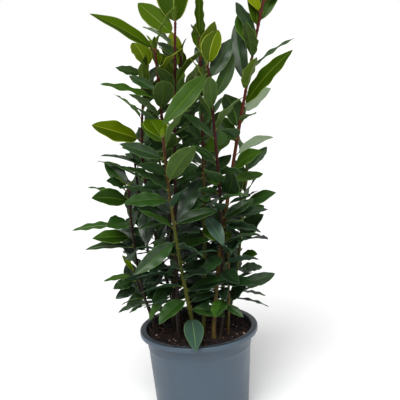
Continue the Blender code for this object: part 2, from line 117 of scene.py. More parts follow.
def newMaterial(name, colour, roughness, ior=1.5, specular=0.5, coat=0.0, coatRoughness=0.2):
    mat = bpy.data.materials.new(name)
    mat.use_nodes = True
    tree = mat.node_tree
    shader = tree.nodes["Principled BSDF"]
    shader.inputs["Base Color"].default_value = srgb(colour) if isinstance(colour, str) else colour
    shader.inputs["Roughness"].default_value = roughness
    shader.inputs["IOR"].default_value = ior
    shader.inputs["Specular IOR Level"].default_value = specular
    if coat:
        shader.inputs["Coat Weight"].default_value = coat
        shader.inputs["Coat Roughness"].default_value = coatRoughness
    return mat, tree, shader


# Small steps that several pieces share

def selectOnly(piece):
    bpy.ops.object.select_all(action="DESELECT")
    piece.select_set(True)
    bpy.context.view_layer.objects.active = piece


def faceOutward(piece):
    selectOnly(piece)
    bpy.ops.object.mode_set(mode="EDIT")
    bpy.ops.mesh.select_all(action="SELECT")
    bpy.ops.mesh.normals_make_consistent(inside=False)
    bpy.ops.object.mode_set(mode="OBJECT")


def smoothShade(piece, degrees=50):
    # smooth, but for edges that are sharper than this
    selectOnly(piece)
    bpy.ops.object.shade_smooth_by_angle(angle=math.radians(degrees))


def roughen(piece, name, strength, size, middle=0.5, direction="NORMAL"):
    # moves the surface by clouds of this size, in metres
    clouds = bpy.data.textures.new(name, "CLOUDS")
    clouds.noise_scale = size
    relief = piece.modifiers.new(name, "DISPLACE")
    relief.texture = clouds
    relief.direction = direction
    relief.strength = strength
    relief.mid_level = middle
    selectOnly(piece)
    bpy.ops.object.modifier_apply(modifier=relief.name)


def turnedSolid(name, profile, steps):
    # a circle extruded along rows of (radius, height), then closed at both ends
    bpy.ops.object.select_all(action="DESELECT")
    bpy.ops.mesh.primitive_circle_add(vertices=steps, radius=profile[0][0], location=(0, 0, profile[0][1]))
    piece = bpy.context.object
    piece.name = piece.data.name = name
    bpy.context.scene.cursor.location = (0, 0, 0)
    bpy.context.scene.tool_settings.transform_pivot_point = "CURSOR"
    bpy.ops.object.transform_apply(location=True, rotation=False, scale=False)
    bpy.ops.object.mode_set(mode="EDIT")
    bpy.ops.mesh.select_all(action="SELECT")
    for (lastRadius, lastHeight), (radius, height) in zip(profile, profile[1:]):
        bpy.ops.mesh.extrude_region_move(TRANSFORM_OT_translate={"value": (0, 0, height - lastHeight)})
        bpy.ops.transform.resize(value=(radius / lastRadius, radius / lastRadius, 1))
    bpy.ops.mesh.edge_face_add()
    bpy.ops.mesh.select_all(action="DESELECT")
    bpy.ops.mesh.select_non_manifold()
    bpy.ops.mesh.edge_face_add()
    bpy.ops.object.mode_set(mode="OBJECT")
    faceOutward(piece)
    return piece


def stacked(shapes):
    # one array of points and one of faces from many pairs of both
    offsets = np.cumsum([0] + [len(points) for points, faces in shapes[:-1]])
    return (np.concatenate([points for points, faces in shapes]),
            np.concatenate([np.array(faces) + offset for (points, faces), offset in zip(shapes, offsets)]))


def joinedMesh(name, points, faces, slots, materials, uv=None):
    # one mesh object from stacked arrays of points and four-cornered faces
    mesh = bpy.data.meshes.new(name)
    mesh.vertices.add(len(points))
    mesh.vertices.foreach_set("co", np.asarray(points, np.float32).ravel())
    mesh.loops.add(faces.size)
    mesh.loops.foreach_set("vertex_index", faces.astype(np.int32).ravel())
    mesh.polygons.add(len(faces))
    mesh.polygons.foreach_set("loop_start", np.arange(0, faces.size, faces.shape[1], dtype=np.int32))
    mesh.polygons.foreach_set("material_index", slots.astype(np.int32))
    for material in materials:
        mesh.materials.append(material)
    if uv is not None:
        layer = mesh.uv_layers.new(name="blade")
        layer.data.foreach_set("uv", np.asarray(uv, np.float32)[faces.ravel()].ravel())
    mesh.update(calc_edges=True)
    mesh.validate()
    piece = bpy.data.objects.new(name, mesh)
    bpy.context.scene.collection.objects.link(piece)
    faceOutward(piece)
    smoothShade(piece)
    return piece


# The plant's rule: the same stems, leading leaves and spiral as the solids were grown by

stems = {
    # foot, tip and bow are places and an offset in metres, and the bow is greatest at the knee, a share of
    # the height. Girth is the foot's radius, leaves start at the height leafy, and split cuts the foliage.
    "left": dict(foot=(-0.034, 0.020), tip=(-0.055, 0.035, 0.562), bow=(-0.025, 0.000), knee=0.6,
                 girth=0.0026, leafy=0.185, split=0.400, spacing=0.017, seed=61),
    "mid_left": dict(foot=(-0.040, 0.005), tip=(-0.041, -0.005, 0.594), bow=(0.005, 0.000), knee=0.5,
                     girth=0.0034, leafy=0.200, split=0.415, spacing=0.017, seed=75),
    "front": dict(foot=(-0.006, -0.020), tip=(-0.035, -0.085, 0.470), bow=(-0.005, -0.005), knee=0.5,
                  girth=0.0033, leafy=0.171, split=0.325, spacing=0.017, seed=105),
    "mid_back": dict(foot=(-0.033, -0.042), tip=(-0.008, 0.010, 0.630), bow=(-0.003, 0.005), knee=0.5,
                     girth=0.0033, leafy=0.190, split=0.430, spacing=0.017, seed=86),
    "middle": dict(foot=(-0.016, 0.040), tip=(-0.003, 0.070, 0.578), bow=(0.000, 0.005), knee=0.5,
                   girth=0.0027, leafy=0.180, split=0.410, spacing=0.017, seed=43),
    "mid_right": dict(foot=(0.006, -0.020), tip=(0.027, 0.030, 0.605), bow=(0.004, -0.010), knee=0.4,
                      girth=0.0035, leafy=0.185, split=0.425, spacing=0.017, seed=107),
    "right": dict(foot=(0.032, -0.040), tip=(0.035, -0.050, 0.567), bow=(0.011, 0.014), knee=0.4,
                  girth=0.0031, leafy=0.190, split=0.410, spacing=0.017, seed=74),
    "right_tall": dict(foot=(0.023, -0.038), tip=(0.128, -0.010, 0.672), bow=(-0.010, 0.012), knee=0.4,
                       girth=0.0036, leafy=0.205, split=0.440, spacing=0.017, seed=66),
    "right_edge": dict(foot=(0.045, 0.010), tip=(0.078, 0.030, 0.358), bow=(0.009, 0.000), knee=0.6,
                      girth=0.0023, leafy=0.178, split=None, spacing=0.015, seed=17),
    "right_front": dict(foot=(0.046, -0.025), tip=(0.053, -0.020, 0.292), bow=(0.001, 0.000), knee=0.5,
                        girth=0.0018, leafy=0.180, split=None, spacing=0.015, seed=62),
    "left_edge": dict(foot=(-0.064, -0.005), tip=(-0.098, 0.020, 0.380), bow=(-0.012, 0.000), knee=0.4,
                     girth=0.0020, leafy=0.180, split=None, spacing=0.015, seed=43),
    "left_back": dict(foot=(-0.058, 0.040), tip=(-0.088, 0.060, 0.424), bow=(-0.005, 0.000), knee=0.5,
                      girth=0.0020, leafy=0.175, split=None, spacing=0.017, seed=97),
    "left_sucker": dict(foot=(-0.058, 0.018), tip=(-0.098, 0.005, 0.246), bow=(-0.006, 0.000), knee=0.5,
                        girth=0.0018, leafy=0.178, split=None, spacing=0.012, seed=114),
    "back": dict(foot=(0.012, 0.055), tip=(0.032, 0.100, 0.480), bow=(0.000, 0.008), knee=0.5,
                 girth=0.0028, leafy=0.175, split=0.335, spacing=0.017, seed=105),
    "back_left": dict(foot=(-0.028, 0.060), tip=(-0.050, 0.112, 0.440), bow=(-0.004, 0.008), knee=0.5,
                      girth=0.0026, leafy=0.172, split=None, spacing=0.017, seed=80),
    "back_right": dict(foot=(0.050, 0.042), tip=(0.096, 0.082, 0.410), bow=(0.006, 0.004), knee=0.5,
                       girth=0.0026, leafy=0.172, split=None, spacing=0.017, seed=21),
    "back_edge": dict(foot=(0.000, 0.066), tip=(0.006, 0.118, 0.320), bow=(0.000, 0.006), knee=0.5,
                     girth=0.0020, leafy=0.168, split=None, spacing=0.015, seed=31),
}

leaders = {
    # leading leaves: height, heading, rise, length, width and turn about their own length
    "left": (
        (0.559, 118, 44, 0.064, 0.033, 0),
        (0.551, 180, 19, 0.050, 0.020, -40),
        (0.451, 200, 24, 0.084, 0.037, -50),
        (0.387, 182, 27, 0.082, 0.018, 0),
        (0.349, 265, -45, 0.075, 0.030, 0),
    ),
    "mid_left": (
        (0.590, 209, 32, 0.114, 0.031, -50),
        (0.586, 304, 49, 0.085, 0.012, 35),
        (0.527, 158, 29, 0.056, 0.020, -30),
        (0.514, 190, 20, 0.094, 0.018, -25),
    ),
    "front": (
        (0.465, 111, 28, 0.060, 0.036, 0),
        (0.437, 206, 25, 0.075, 0.023, -50),
        (0.418, 41, 37, 0.054, 0.018, 20),
        (0.375, 218, 7, 0.082, 0.024, -45),
        (0.311, 218, -23, 0.088, 0.024, -50),
        (0.210, 229, -16, 0.070, 0.026, -20),
        (0.174, 273, -12, 0.090, 0.030, 0),
    ),
    "mid_back": (
        (0.622, 65, 71, 0.098, 0.056, 0),
        (0.608, 145, 39, 0.085, 0.032, -45),
        (0.592, 156, 34, 0.062, 0.036, 10),
        (0.575, 133, 38, 0.045, 0.024, 0),
    ),
    "middle": (
        (0.539, 87, 56, 0.062, 0.018, 30),
    ),
    "mid_right": (
        (0.600, 75, 74, 0.084, 0.016, 45),
        (0.555, 70, 54, 0.060, 0.028, 0),
        (0.446, 101, 49, 0.048, 0.032, 0),
        (0.436, 166, 34, 0.064, 0.026, 50),
        (0.408, 176, 26, 0.046, 0.012, 0),
        (0.396, 234, -37, 0.095, 0.024, -30),
        (0.335, 297, -32, 0.068, 0.022, 20),
        (0.322, 290, -23, 0.045, 0.020, 10),
        (0.292, 199, -8, 0.042, 0.010, 0),
        (0.252, 181, 1, 0.030, 0.012, -20),
    ),
    "right": (
        (0.562, 50, 62, 0.061, 0.030, 20),
        (0.556, 209, -40, 0.105, 0.028, -50),
        (0.543, 41, 51, 0.076, 0.026, 40),
        (0.512, 30, 58, 0.080, 0.020, 60),
        (0.425, 208, 33, 0.050, 0.012, 0),
    ),
    "right_tall": (
        (0.648, 40, 35, 0.060, 0.024, 40),
        (0.619, 42, 50, 0.078, 0.022, 40),
        (0.611, 96, 64, 0.080, 0.026, 0),
        (0.595, 122, 53, 0.074, 0.024, 0),
        (0.551, 20, 30, 0.090, 0.016, 0),
        (0.530, 102, 64, 0.106, 0.026, -30),
        (0.499, 333, 45, 0.116, 0.025, 75),
        (0.490, 29, 30, 0.064, 0.034, -60),
        (0.462, 114, 56, 0.068, 0.038, 0),
        (0.426, 24, 17, 0.072, 0.026, -50),
        (0.403, 331, 32, 0.060, 0.028, 50),
        (0.385, 25, 6, 0.060, 0.020, 30),
        (0.362, 285, 56, 0.055, 0.034, 135),
    ),
    "right_edge": (
        (0.343, 2, 31, 0.034, 0.012, 0),
        (0.333, 334, 27, 0.066, 0.032, 30),
        (0.314, 32, 19, 0.050, 0.022, 30),
        (0.280, 320, 47, 0.068, 0.036, 65),
        (0.253, 309, 18, 0.046, 0.022, 40),
        (0.233, 28, -5, 0.050, 0.020, 30),
        (0.207, 20, 7, 0.076, 0.022, 50),
        (0.194, 2, 14, 0.042, 0.010, 0),
        (0.188, 14, -21, 0.068, 0.014, 0),
    ),
    "right_front": (
        (0.195, 328, 49, 0.060, 0.030, 50),
    ),
    "left_edge": (
        (0.376, 146, 44, 0.062, 0.026, -40),
        (0.371, 216, 36, 0.046, 0.028, -30),
        (0.362, 168, 17, 0.070, 0.016, 0),
        (0.358, 215, 14, 0.068, 0.030, -60),
        (0.325, 226, 4, 0.050, 0.032, -30),
        (0.318, 188, 2, 0.093, 0.020, -15),
        (0.300, 205, 8, 0.068, 0.026, -45),
        (0.284, 187, 3, 0.078, 0.022, -15),
    ),
    "left_back": (
        (0.207, 212, -21, 0.060, 0.020, -40),
    ),
    "left_sucker": (
        (0.238, 188, -3, 0.051, 0.014, -20),
        (0.230, 219, -3, 0.046, 0.020, -40),
        (0.218, 218, -8, 0.046, 0.018, -40),
        (0.190, 165, -20, 0.040, 0.012, 0),
        (0.187, 217, -10, 0.036, 0.010, 0),
    ),
}

leaderTints = {
    # one letter for each row above, as in leafTints
    "left": "bmbod", "mid_left": "yyom", "front": "yomooow", "mid_back": "yypm", "middle": "y",
    "mid_right": "yoooodwmmy", "right": "bmomo", "right_tall": "ymyoooypmpmmo", "right_edge": "domomoodd",
    "right_front": "d", "left_edge": "oommopmp", "left_back": "o", "left_sucker": "modoo",
}

stemRule = {
    "tipRadius": 0.0012,
    "flare": 1.35,                # how much fuller the foot is, over the lowest stretch
    "flareHeight": 0.010,
    "guardStep": 0.045,           # between the rings of the rough tube that leaves keep clear of
    "guardSides": 8,
}
spiralRule = {
    "turn": 137.5, "turnSpread": 18,                      # degrees from one leaf to the next
    "lowRise": -8, "topRise": 64, "riseCurve": 1.6,       # degrees above level, at foot and tip
    "lowSpread": 25, "topSpread": 10,
    "mostTurn": 40,                                       # degrees about its own length
    "lowLength": 0.062, "topLength": 0.074, "lengthSpread": (0.78, 1.15),
    "slenderness": (0.32, 0.42),                          # width as a share of the length
    "lowSpacing": 0.45, "spacingSpread": (0.8, 1.2),      # shares of the stem's own spacing
    "endMargin": 0.004,
    "reach": 0.140,                                       # the crown's radius
    "lowestTip": 0.160, "frontLift": 0.35,                # leaf tips are this high, higher in front
    "crownMiddle": (-0.008, 0.015),
    "leaderSpace": 0.008,                                 # kept free above and below a leader's root
    # where a leaf doesn't fit, the next place is tried: degrees aside and share of its size
    "tries": ((0, 1.0), (35, 1.0), (-35, 1.0), (75, 0.9), (-75, 0.9),
              (120, 0.75), (-120, 0.75), (180, 0.65)),
}
leafRule = {
    "stalk": 0.009,                               # of a leading leaf
    "stalkHalfWidth": 0.0011, "stalkKeel": 1.6,
    "thickness": 0.018,                           # the keel's depth, as a share of the length
    "arch": 0.05,
    "stations": ((0.36, 1.0), (0.70, 0.88)),      # share of the length, and how wide it is there
    "clearance": 0.0012,
    "potClearance": 0.004,
    "sisterSpace": 0.010,                         # leaves with roots nearer than this may touch there
    "belowCut": 0.008, "aboveCut": 0.004,
}


def stemPoint(stem, height):
    # the middle of a stem at a height: straight from foot to tip, bowed most at its knee
    share = (height - soilTop) / (stem["tip"][2] - soilTop)
    bent = max(share, 0) ** (math.log(0.5) / math.log(stem["knee"]))
    bow = 4 * bent * (1 - bent)
    across = [foot + (tip - foot) * share + out * bow
              for foot, tip, out in zip(stem["foot"], stem["tip"], stem["bow"])]
    return Vector((across[0], across[1], height))


def stemRadius(stem, height):
    share = (height - soilTop) / (stem["tip"][2] - soilTop)
    radius = stem["girth"] + (stemRule["tipRadius"] - stem["girth"]) * share
    if height < soilTop + stemRule["flareHeight"]:
        radius *= 1 + (stemRule["flare"] - 1) * (1 - (height - soilTop) / stemRule["flareHeight"]) ** 2
    return radius


def leafFrame(heading, rise, turn):
    # the directions along a leaf, across it and out of its upper face
    heading, rise, turn = (math.radians(angle) for angle in (heading, rise, turn))
    along = Vector((math.cos(rise) * math.cos(heading), math.cos(rise) * math.sin(heading), math.sin(rise)))
    level = Vector((math.sin(heading), -math.cos(heading), 0))
    upper = Vector((-math.sin(rise) * math.cos(heading), -math.sin(rise) * math.sin(heading),
                    math.cos(rise)))
    face = upper * math.cos(turn) + level * math.sin(turn)
    return along, along.cross(face), face


def archLift(length, share):
    # how far an arched leaf stands off its straight line, at a share of its length
    return leafRule["arch"] * length * 4 * share * (1 - share)


def leafStations(leaf, start=0.0):
    # distance along the leaf, half its width and its depth, from the stalk to the widest places
    length, full = leaf["length"], leaf["width"] / 2
    half = leafRule["stalkHalfWidth"]
    stations = [(0, half, half * leafRule["stalkKeel"])]
    if leaf["stalked"]:
        stations.append((leafRule["stalk"], *stations[0][1:]))
    stations += [(length * share, full * fullness, length * leafRule["thickness"])
                 for share, fullness in leafRule["stations"]]
    if start:
        outer = next(index for index, station in enumerate(stations) if station[0] > start)
        inner = stations[outer - 1]
        share = (start - inner[0]) / (stations[outer][0] - inner[0])
        cut = tuple(a + (b - a) * share for a, b in zip(inner, stations[outer]))
        stations = [cut] + stations[outer:]
    return stations


def leafRings(leaf, start=0.0, clearance=0.0):
    along, side, face = leaf["frame"]
    length = leaf["length"]
    rings = []
    for distance, half, keel in leafStations(leaf, start):
        middle = leaf["root"] + along * distance + face * archLift(length, distance / length)
        rings.append([middle + side * (half + clearance) + face * clearance,
                      middle - side * (half + clearance) + face * clearance,
                      middle - face * (keel + clearance)])
    return rings, leaf["root"] + along * (length + clearance)


def leafFaces(ringCount):
    faces = [(2, 1, 0)]
    for ring in range(ringCount - 1):
        for corner in range(3):
            first, second = ring * 3 + corner, ring * 3 + (corner + 1) % 3
            faces.append((first, second, second + 3, first + 3))
    last = (ringCount - 1) * 3
    faces += [(last + corner, last + (corner + 1) % 3, last + 3) for corner in range(3)]
    return faces


def leafShape(leaf, start=0.0, clearance=0.0):
    rings, tip = leafRings(leaf, start, clearance)
    return [point for ring in rings for point in ring] + [tip], leafFaces(len(rings))


def guard(points, faces, stem, height=None):
    # a shape that other leaves keep clear of, with its box for a quick first look
    low = [min(point[axis] for point in points) for axis in range(3)]
    high = [max(point[axis] for point in points) for axis in range(3)]
    return {"tree": BVHTree.FromPolygons(points, faces), "low": low, "high": high,
            "stem": stem, "height": height}


def stemGuard(name):
    stem, sides = stems[name], stemRule["guardSides"]
    count = max(3, round((stem["tip"][2] - soilTop) / stemRule["guardStep"]))
    points, faces = [], []
    for ring in range(count + 1):
        height = soilTop + (stem["tip"][2] - soilTop) * ring / count
        middle, radius = stemPoint(stem, height), stemRadius(stem, height) + leafRule["clearance"]
        for corner in range(sides):
            angle = 2 * math.pi * corner / sides
            points.append(middle + Vector((radius * math.cos(angle), radius * math.sin(angle), 0)))
    for ring in range(count):
        for corner in range(sides):
            first, second = ring * sides + corner, ring * sides + (corner + 1) % sides
            faces.append((first, second, second + sides, first + sides))
    return guard(points, faces, name)


def aboveThePot(points):
    for point in points:
        radius = math.hypot(point[0], point[1])
        floor = potHeight if radius < rimRadius + leafRule["potClearance"] else 0
        if point[2] < floor + leafRule["potClearance"]:
            return False
    return True


def growsBeside(leaf, other):
    # a leaf may touch its own stem and its sisters at the root
    if other["stem"] != leaf["stem"]:
        return False
    return other["height"] is None or abs(other["height"] - leaf["root"].z) < leafRule["sisterSpace"]


def meet(one, other):
    apart = any(one["low"][axis] > other["high"][axis] or one["high"][axis] < other["low"][axis]
                for axis in range(3))
    return not apart and bool(one["tree"].overlap(other["tree"]))


def fits(leaf, taken):
    points, faces = leafShape(leaf, leafRule["stalk"])
    if not aboveThePot(points):
        return False
    blade = [guard(points, faces, leaf["stem"])]
    whole = [guard(*leafShape(leaf, clearance=spare), leaf["stem"]) for spare in (leafRule["clearance"], 0)]
    for other in taken:
        if any(meet(mine, other) for mine in (blade if growsBeside(leaf, other) else whole)):
            return False
    return True


def clearOfCuts(stem, height):
    # no leaf springs where one length of stem ends and the next begins
    for cut in (stem["leafy"], stem["split"]):
        if cut and -leafRule["belowCut"] < height - cut < leafRule["aboveCut"]:
            return cut + leafRule["aboveCut"]
    return height


def makeLeaf(name, height, heading, rise, length, width, turn, stalked=False, tint=None):
    height = clearOfCuts(stems[name], height)
    return {"stem": name, "root": stemPoint(stems[name], height), "length": length, "width": width,
            "frame": leafFrame(heading, rise, turn), "stalked": stalked, "tint": tint}


def keep(leaf, leaves, taken):
    leaves.append(leaf)
    taken.append(guard(*leafShape(leaf), leaf["stem"], leaf["root"].z))


def leadingLeaves(leaves, taken):
    for name, rows in leaders.items():
        for row, letter in zip(rows, leaderTints[name]):
            leaf = makeLeaf(name, *row, stalked=True, tint=letter)
            if fits(leaf, taken):
                keep(leaf, leaves, taken)


def withinReach(leaf):
    # inside the crown, and high enough in front to leave the compost in view
    tip = leaf["root"] + leaf["frame"][0] * leaf["length"]
    middle = spiralRule["crownMiddle"]
    if tip.z < spiralRule["lowestTip"] + spiralRule["frontLift"] * max(-tip.y, 0):
        return False
    return math.hypot(tip.x - middle[0], tip.y - middle[1]) < spiralRule["reach"]


def fillingLeaves(name, leaves, taken):
    stem, rule = stems[name], spiralRule
    rng = random.Random(stem["seed"])
    leaderHeights = [row[0] for row in leaders.get(name, ())]
    height = stem["leafy"] + rule["endMargin"]
    heading = rng.uniform(0, 360)
    while height < stem["tip"][2] - rule["endMargin"]:
        share = (height - soilTop) / (stem["tip"][2] - soilTop)
        heading += rule["turn"] + rng.uniform(-rule["turnSpread"], rule["turnSpread"])
        spread = rule["lowSpread"] + (rule["topSpread"] - rule["lowSpread"]) * share
        rise = rule["lowRise"] + (rule["topRise"] - rule["lowRise"]) * share ** rule["riseCurve"]
        rise += rng.uniform(-spread, spread)
        length = rule["lowLength"] + (rule["topLength"] - rule["lowLength"]) * share
        length *= rng.uniform(*rule["lengthSpread"])
        width = length * rng.uniform(*rule["slenderness"])
        turn = rng.uniform(-rule["mostTurn"], rule["mostTurn"])
        step = stem["spacing"] * (rule["lowSpacing"] + (1 - rule["lowSpacing"]) * share)
        step *= rng.uniform(*rule["spacingSpread"])
        if min((abs(height - other) for other in leaderHeights), default=1) > rule["leaderSpace"]:
            for aside, size in rule["tries"]:
                leaf = makeLeaf(name, height, heading + aside, rise, length * size, width * size, turn)
                if withinReach(leaf) and fits(leaf, taken):
                    keep(leaf, leaves, taken)
                    break
        height += step


leaves = []
taken = [stemGuard(name) for name in stems]
leadingLeaves(leaves, taken)
for name in stems:
    fillingLeaves(name, leaves, taken)
solidLeafCount = len(leaves)
print("rule grown,", solidLeafCount, "leaves as in the solids")


# Young leaves at the shoot tips, finer than the solids carry

tipTufts = {
    "seed": 41,
    "count": (2, 4),
    "below": (0.001, 0.010),      # how far under the tip they spring
    "length": (0.020, 0.036),
    "slenderness": (0.24, 0.34),
    "rise": (52, 76),
    "turn": (-20, 20),
}


def growTipTufts(c):
    rng = random.Random(c["seed"])
    for name, stem in stems.items():
        heading = rng.uniform(0, 360)
        for _ in range(rng.randint(*c["count"])):
            heading += spiralRule["turn"]
            length = rng.uniform(*c["length"])
            height = stem["tip"][2] - rng.uniform(*c["below"])
            rise, turn = rng.uniform(*c["rise"]), rng.uniform(*c["turn"])
            width = length * rng.uniform(*c["slenderness"])
            leaf = makeLeaf(name, height, heading, rise, length, width, turn, tint="y")
            if fits(leaf, taken):
                keep(leaf, leaves, taken)


growTipTufts(tipTufts)
print("tip tufts grown,", len(leaves) - solidLeafCount, "small leaves")


# Leaf finish. A bay leaf is leathery with a waxy skin: a broad grey-white sheen over a deep green,
# a thin pale edge that lets light through, a yellowish midrib, and a paler, duller underside.

leafTints = {
    # letter: name, top, underside, rib, edge, roughness, share of the full sheen, coat
    "b": ("Bright", "#4C5E00", "#5A6C0E", "#727E1A", "#84902A", 0.50, 0.06, 0.0),
    "y": ("Young", "#3C5400", "#465C0E", "#566A14", "#6C7C2A", 0.52, 0.06, 0.0),
    "m": ("Middle", "#2C4A04", "#3C5220", "#486418", "#5C7432", 0.46, 0.22, 0.0),
    "p": ("Pale", "#2C4E12", "#7E9072", "#8A9A74", "#7A8C60", 0.46, 0.25, 0.0),      # shows its underside
    "w": ("PaintedSheen", "#4A664A", "#687C62", "#5E7850", "#56704C", 0.40, 0.45, 0.0),   # grey-green top is a painted reflection of the pale room
    "o": ("Mature", "#20400A", "#2E4824", "#365420", "#466232", 0.46, 0.50, 0.07),
    "d": ("Deep", "#112B0A", "#283E2A", "#24421E", "#365236", 0.44, 0.60, 0.10),
}
paintedLeafLight = {
    # painted light and shade for the two halves of a blade: shaded and lit copies of its top colour, as red,
    # green and blue factors, and how often
    "PaintedShade": ((0.52, 0.58, 0.76), 0.32),
    "": ((1.0, 1.0, 1.0), 0.42),
    "PaintedLight": ((1.95, 1.68, 1.45), 0.26),
}
tintRule = {
    "drift": 0.06,               # metres up or down by which a leaf may take another place's tint
    "brightFrom": 0.56, "brightReach": 0.05,     # bright leaves are this high and this near a shoot's tip
    # lowest height, two tints and how often it is the first
    "bands": ((0.50, "ym", 0.6), (0.40, "mo", 0.6), (0.27, "od", 0.6), (0.0, "do", 0.65)),
    "sameShade": 0.62,           # of the leaves have both halves alike in painted light and shade
}
leafVeins = {
    "pairs": 10,          # side veins on each half
    "slant": 0.30,        # how far they run forward to the edge
    "veinHeight": 0.00022,
    "veinWidth": 0.32,
    "grainShare": 0.12,
    "skinGrain": 0.0009,  # metres between the skin's fine pits, coarse enough to show
    "upperStrength": 0.55, "underStrength": 0.9,
    "ior": 1.45,
    "underRoughness": 0.6, "ribRoughness": 0.45, "edgeRoughness": 0.5,
    "dullSheen": 0.2,
}


def leafMaterial(name, colour, roughness, specular, coat, veinStrength):
    # cutin-covered blade: veins pressed into it, and a fine grain that breaks up its gloss
    mat, tree, shader = newMaterial(name, colour, roughness, leafVeins["ior"], specular, coat)
    uv = addNode(tree, "ShaderNodeUVMap", {"uv_map": "blade"})
    parts = addNode(tree, "ShaderNodeSeparateXYZ", links={"Vector": (uv, "UV")})
    fromRib = addNode(tree, "ShaderNodeMath", {"operation": "SUBTRACT"}, {1: 0.5}, {0: (parts, "Y")})
    halfWay = addNode(tree, "ShaderNodeMath", {"operation": "ABSOLUTE"}, links={0: (fromRib, "Value")})
    place = addNode(tree, "ShaderNodeMath", {"operation": "MULTIPLY_ADD"}, {1: -2 * leafVeins["slant"]},
                    {0: (halfWay, "Value"), 2: (parts, "X")})
    count = addNode(tree, "ShaderNodeMath", {"operation": "MULTIPLY"}, {1: leafVeins["pairs"]},
                    {0: (place, "Value")})
    wave = addNode(tree, "ShaderNodeMath", {"operation": "PINGPONG"}, {1: 0.5}, {0: (count, "Value")})
    ridge = addNode(tree, "ShaderNodeMapRange", {"interpolation_type": "SMOOTHSTEP"},
                    {"From Min": 0.0, "From Max": leafVeins["veinWidth"]}, {"Value": (wave, "Value")})
    coords = addNode(tree, "ShaderNodeTexCoord")
    grain = addNode(tree, "ShaderNodeTexNoise", values={"Scale": 1 / leafVeins["skinGrain"], "Detail": 1.0},
                    links={"Vector": (coords, "Object")})
    height = addNode(tree, "ShaderNodeMath", {"operation": "MULTIPLY_ADD"}, {1: leafVeins["grainShare"]},
                     {0: (grain, "Fac"), 2: (ridge, "Result")})
    bump = addNode(tree, "ShaderNodeBump", links={"Height": (height, "Value")},
                   values={"Strength": veinStrength, "Distance": leafVeins["veinHeight"]})
    tree.links.new(bump.outputs["Normal"], shader.inputs["Normal"])
    return mat


def plainLeafMaterial(name, colour, roughness):
    # smooth green tissue without a pattern of its own
    return newMaterial(name, colour, roughness, leafVeins["ior"], leafVeins["dullSheen"])[0]


# Leaf blades: a folded, waved sheet half a millimetre thick, closed at its edge

leafBlade = {
    "seed": 5,
    "rows": 22,
    "columns": (-1, -0.93, -0.72, -0.44, -0.18, -0.05, 0, 0.05, 0.18, 0.44, 0.72, 0.93, 1),
    "ribEdge": 0.05,              # the columns up to here are the midrib's
    "thickness": 0.0005,
    "fillStalk": 0.0065,          # stalk of an ordinary leaf
    "stalkShare": 0.14,           # and the most of its length that it may be
    "rootHalfWidth": 0.0009,
    "fold": (0.12, 0.45),         # how much the halves rise from the midrib
    "wave": (0.008, 0.024),       # height of the edge's waves, as a share of the length
    "waves": (2.0, 4.0),          # how many along an edge
    "phase": (0, 6.28),           # radians, where the waves of one edge begin
    "waveEnds": 0.6,              # lower lets the waves run closer to both ends
    "cup": 0.35,                  # how much the halves level off towards the edge
    "bend": (-0.045, 0.045),      # sideways, as a share of the length
    "droop": (-0.01, 0.07),       # of the tip
    "droopEase": 0.4,
    "twist": (-0.35, 0.35),       # radians from base to tip
    "level": 0.35,                # the share of the length that the twist leaves level
    "fullness": (0.50, 0.66),     # lower is a rounder outline
    "widest": 0.90, "pointed": 0.25,
    "tipTrim": 0.0005,
    "groove": 0.0003,
    "rib": 0.0005, "ribTaper": 0.8,
    "ribReach": 0.06,
}


def outlineShare(t, fullness):
    # widest just below the middle, wedge-shaped at the stalk and pointed at the tip
    return np.sin(np.pi * t ** leafBlade["widest"]) ** (fullness + leafBlade["pointed"] * t)


def bladeSheets(leaf, rng):
    # the upper and lower sheet of one leaf, each an array of rows by columns of points
    c = leafBlade
    along, side, face = (np.array(direction) for direction in leaf["frame"])
    length = leaf["length"]
    stalk = leafRule["stalk"] if leaf["stalked"] else min(c["fillStalk"], length * c["stalkShare"])
    leaf["stalkLength"] = stalk
    fold, wave, waves, bend, droop, twist, fullness = (
        rng.uniform(*c[k]) for k in ("fold", "wave", "waves", "bend", "droop", "twist", "fullness"))
    phases = (rng.uniform(*c["phase"]), rng.uniform(*c["phase"]))
    t = np.linspace(0, 1, c["rows"])[:, None]
    v = np.array(c["columns"])[None, :]
    reach = stalk + (length - stalk) * t
    share = reach / length
    half = leaf["width"] / 2 * outlineShare(np.clip(t, c["tipTrim"], 1 - c["tipTrim"]), fullness)
    half = np.maximum(half, c["rootHalfWidth"] * (1 - t))
    lift = archLift(length, share) - droop * length * t ** 3 * (1 - t * c["droopEase"])
    sway = bend * length * 4 * t * (1 - t)
    phase = np.where(v > 0, phases[0], phases[1])
    edge = np.abs(v) ** 2 * np.sin(np.pi * t) ** c["waveEnds"]
    ribNear = np.exp(-(v / c["ribReach"]) ** 2)
    rise = fold * np.abs(v) * half * (1 - c["cup"] * np.abs(v))
    rise = rise + wave * length * edge * np.sin(2 * np.pi * waves * t + phase)
    rise = rise - c["groove"] * ribNear * (1 - t)
    angle = twist * (t - c["level"])
    leafSide = side * np.cos(angle)[..., None] + face * np.sin(angle)[..., None]
    leafUp = face * np.cos(angle)[..., None] - side * np.sin(angle)[..., None]
    middle = (np.array(leaf["root"]) + along * reach[..., None] + face * lift[..., None]
              + side * sway[..., None])
    upper = middle + leafSide * (v * half)[..., None] + leafUp * rise[..., None]
    under = c["thickness"] + c["rib"] * ribNear * (1 - c["ribTaper"] * t)
    return upper, upper - leafUp * under[..., None]


